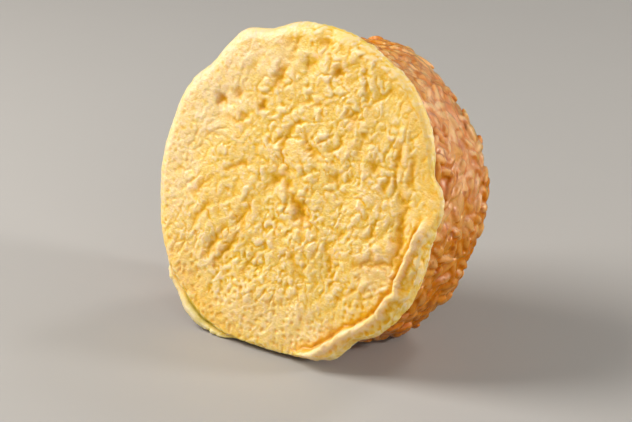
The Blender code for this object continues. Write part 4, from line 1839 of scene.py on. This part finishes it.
    def measure(self, mesh: bpy.types.Mesh, points: Array, places: Array, lengthwise: Array) -> None:
        """Keeps what the finish needs: each grain's tint, its borders and how proud it is.

        Args:
            mesh: the rice.
            points: its corners, in metres.
            places: the grains' middles, from the cake's middle.
            lengthwise: the directions of their lengths.
        """
        long, wide, _ = self.plan.mean
        reach = (long - wide) / 2.0
        count, looked_at = 5, 6  # beads in a grain, and beads looked at round each corner
        beads = beads_of(places, lengthwise, reach * np.linspace(-1.0, 1.0, count))
        tree = tree_of(beads.reshape(-1, 3))
        spots = self.from_world(points)
        draws = np.random.default_rng(self.plan.seed + 2).uniform(0.0, 1.0, len(places))
        tint, seam = np.zeros(len(spots)), np.zeros(len(spots))
        for number, spot in enumerate(spots.tolist()):
            found = [(far, other // count) for _, other, far in tree.find_n(spot, looked_at)]
            own = found[0]
            rival = next((far for far, grain in found if grain != own[1]), own[0] + wide)
            tint[number] = draws[own[1]]
            seam[number] = (rival - own[0]) / wide
        run, clock, _, height = self.over_surface(spots)
        off_pale = (clock - self.pale_clock) / self.pale_spread
        pale = np.exp(-((run / self.pale_reach) ** 2) - off_pale**2)
        # More sauce colour lower down: partly sauce, partly painted shade.
        store(mesh, "soaked_and_shaded", read_table(self.soaked_and_shaded, clock) * (1.0 - pale))
        store(mesh, "tint", np.maximum(tint, pale))
        seam += read_table(self.pressed, clock)
        store(mesh, "seam", np.clip(seam, 0.0, 1.0))
        store(mesh, "proud", height)


@dataclass(frozen=True)
class Lamp:
    """A square soft light that looks at the cake."""

    name: str
    towards: tuple[float, float, float]  # direction from the cake to the light
    far: float  # metres
    size: float  # length of a side in metres
    watts: float
    colour: Colour
    glints: bool = False  # whether it only shows as glints on what is wet

    def build(self, aim: Vector) -> bpy.types.Object:
        """Adds the light.

        Args:
            aim: the place that it looks at.

        Returns:
            The light.
        """
        data = bpy.data.lights.new(self.name, "AREA")
        data.size = self.size
        data.energy = self.watts
        data.color = self.colour
        light = bpy.data.objects.new(self.name, data)
        direction = Vector(self.towards).normalized()
        light.location = aim + direction * self.far
        light.rotation_euler = direction.to_track_quat("Z", "Y").to_euler()
        light.visible_diffuse = not self.glints
        bpy.context.scene.collection.objects.link(light)
        return light


WHITE = (1.0, 0.97, 0.93)
WARM = (1.0, 0.88, 0.68)
LAMPS = (
    Lamp("key", (-0.67, -0.34, 0.65), 0.6, 0.34, 4.5, (1.0, 0.95, 0.89)),
    Lamp("back", (0.20, 0.72, 0.70), 0.9, 0.20, 1.6, WHITE),
    Lamp("side", (0.80, 0.35, 0.40), 0.9, 0.14, 3.4, WHITE),
    Lamp("fill", (0.70, -0.60, 0.40), 0.9, 0.50, 1.85, (1.0, 0.96, 0.90)),
    Lamp("bounce", (-0.92, -0.36, 0.05), 0.9, 0.14, 1.4, (1.0, 0.68, 0.38)),
    Lamp("glint_back", (0.30, 0.78, 0.55), 0.9, 0.18, 3.6, WARM, True),
    Lamp("glint_rear", (0.64, 0.74, 0.20), 0.9, 0.18, 4.8, WARM, True),
    Lamp("glint_side", (0.88, 0.20, 0.42), 0.9, 0.18, 4.8, WARM, True),
)


@dataclass
class Studio:
    """The plain table, the soft lights and the camera."""

    stance: Stance
    table: TableFinish
    azimuth: float = 35.94  # of the camera, from the front towards the right
    elevation: float = 21.5
    distance: float = 0.60
    aim: tuple[float, float] = (0.005223, -0.004459)  # right of the face's middle, and above
    lens: float = 138.43
    sensor: float = 36.0
    lights_aim: float = 0.04  # height at which the lights look
    room_colour: Colour = (1.0, 0.95, 0.88)
    room_strength: float = 0.10

    def build_table(self) -> bpy.types.Object:
        """Builds the table top, which curves up into a backdrop far behind.

        Returns:
            The table top.
        """
        half, wide, flat, curve, high, rise = 2.0, 3.0, 1.2, 0.8, 2.4, 24
        profile = [(-half, 0.0)]
        for step in range(rise + 1):
            angle = math.pi / 2 * step / rise
            profile.append((flat + curve * math.sin(angle), curve * (1.0 - math.cos(angle))))
        profile.append((half, high))
        points = [(side * wide, y, z) for y, z in profile for side in (-1.0, 1.0)]
        faces = [(2 * n, 2 * n + 1, 2 * n + 3, 2 * n + 2) for n in range(len(profile) - 1)]
        top = make_piece("table_top", np.array(points), faces, self.table.material())
        top.visible_glossy = False  # the gloss on the food shows the lights alone
        return top

    def build_camera(self) -> bpy.types.Object:
        """Puts the camera where the photograph was taken from.

        Returns:
            The camera.
        """
        turn, rise = math.radians(self.azimuth), math.radians(self.elevation)
        back = Vector(
            (math.sin(turn) * math.cos(rise), -math.cos(turn) * math.cos(rise), math.sin(rise))
        )
        right = Vector((math.cos(turn), math.sin(turn), 0.0))
        middle = Vector(self.stance.middle) * MM
        target = middle + right * self.aim[0] + Vector((0.0, 0.0, self.aim[1]))
        data = bpy.data.cameras.new("camera")
        data.lens = self.lens
        data.sensor_width = self.sensor
        data.clip_start = 0.01
        camera = bpy.data.objects.new("camera", data)
        camera.location = target + back * self.distance
        camera.rotation_euler = back.to_track_quat("Z", "Y").to_euler()
        bpy.context.scene.collection.objects.link(camera)
        bpy.context.scene.camera = camera
        return camera

    def build_lights(self) -> None:
        """Adds the soft lights and the room's own faint light."""
        aim = Vector((0.0, 0.0, self.lights_aim))
        for lamp in LAMPS:
            lamp.build(aim)
        world = bpy.data.worlds.new("room")
        world.use_nodes = True
        sky = world.node_tree.nodes["Background"]
        sky.inputs["Color"].default_value = (*self.room_colour, 1.0)
        sky.inputs["Strength"].default_value = self.room_strength
        bpy.context.scene.world = world
        bpy.context.scene.view_settings.view_transform = "Standard"
        bpy.context.scene.cycles.use_denoising = True


def report(piece: bpy.types.Object) -> None:
    """Writes a piece's size to the log.

    Args:
        piece: the piece.
    """
    mesh = piece.data
    mesh.calc_loop_triangles()
    points = corners(mesh) / MM
    low, high = points.min(0), points.max(0)
    log.info(
        "%s: %d triangles, x %.1f..%.1f y %.1f..%.1f z %.1f..%.1f mm",
        piece.name, len(mesh.loop_triangles), low[0], high[0], low[1], high[1], low[2], high[2],
    )


def main() -> None:
    """Builds the rice ball, the table, the lights and the camera."""
    logging.basicConfig(level=logging.INFO, format="%(message)s")
    stance = Stance()
    cake = RiceCake(stance, RiceFinish(), GrainPlan())
    omelette = Omelette(stance, OmeletteFinish(), cake.radius, cake.shift)
    pieces = [
        Solid.EGG.dress(omelette.build()),
        Solid.RICE.dress(cake.build(omelette.edge_at(np.arange(361.0)))),
    ]
    for piece in pieces:
        report(piece)
    studio = Studio(stance, TableFinish())
    studio.build_table()
    studio.build_camera()
    studio.build_lights()


if __name__ == "__main__":
    main()
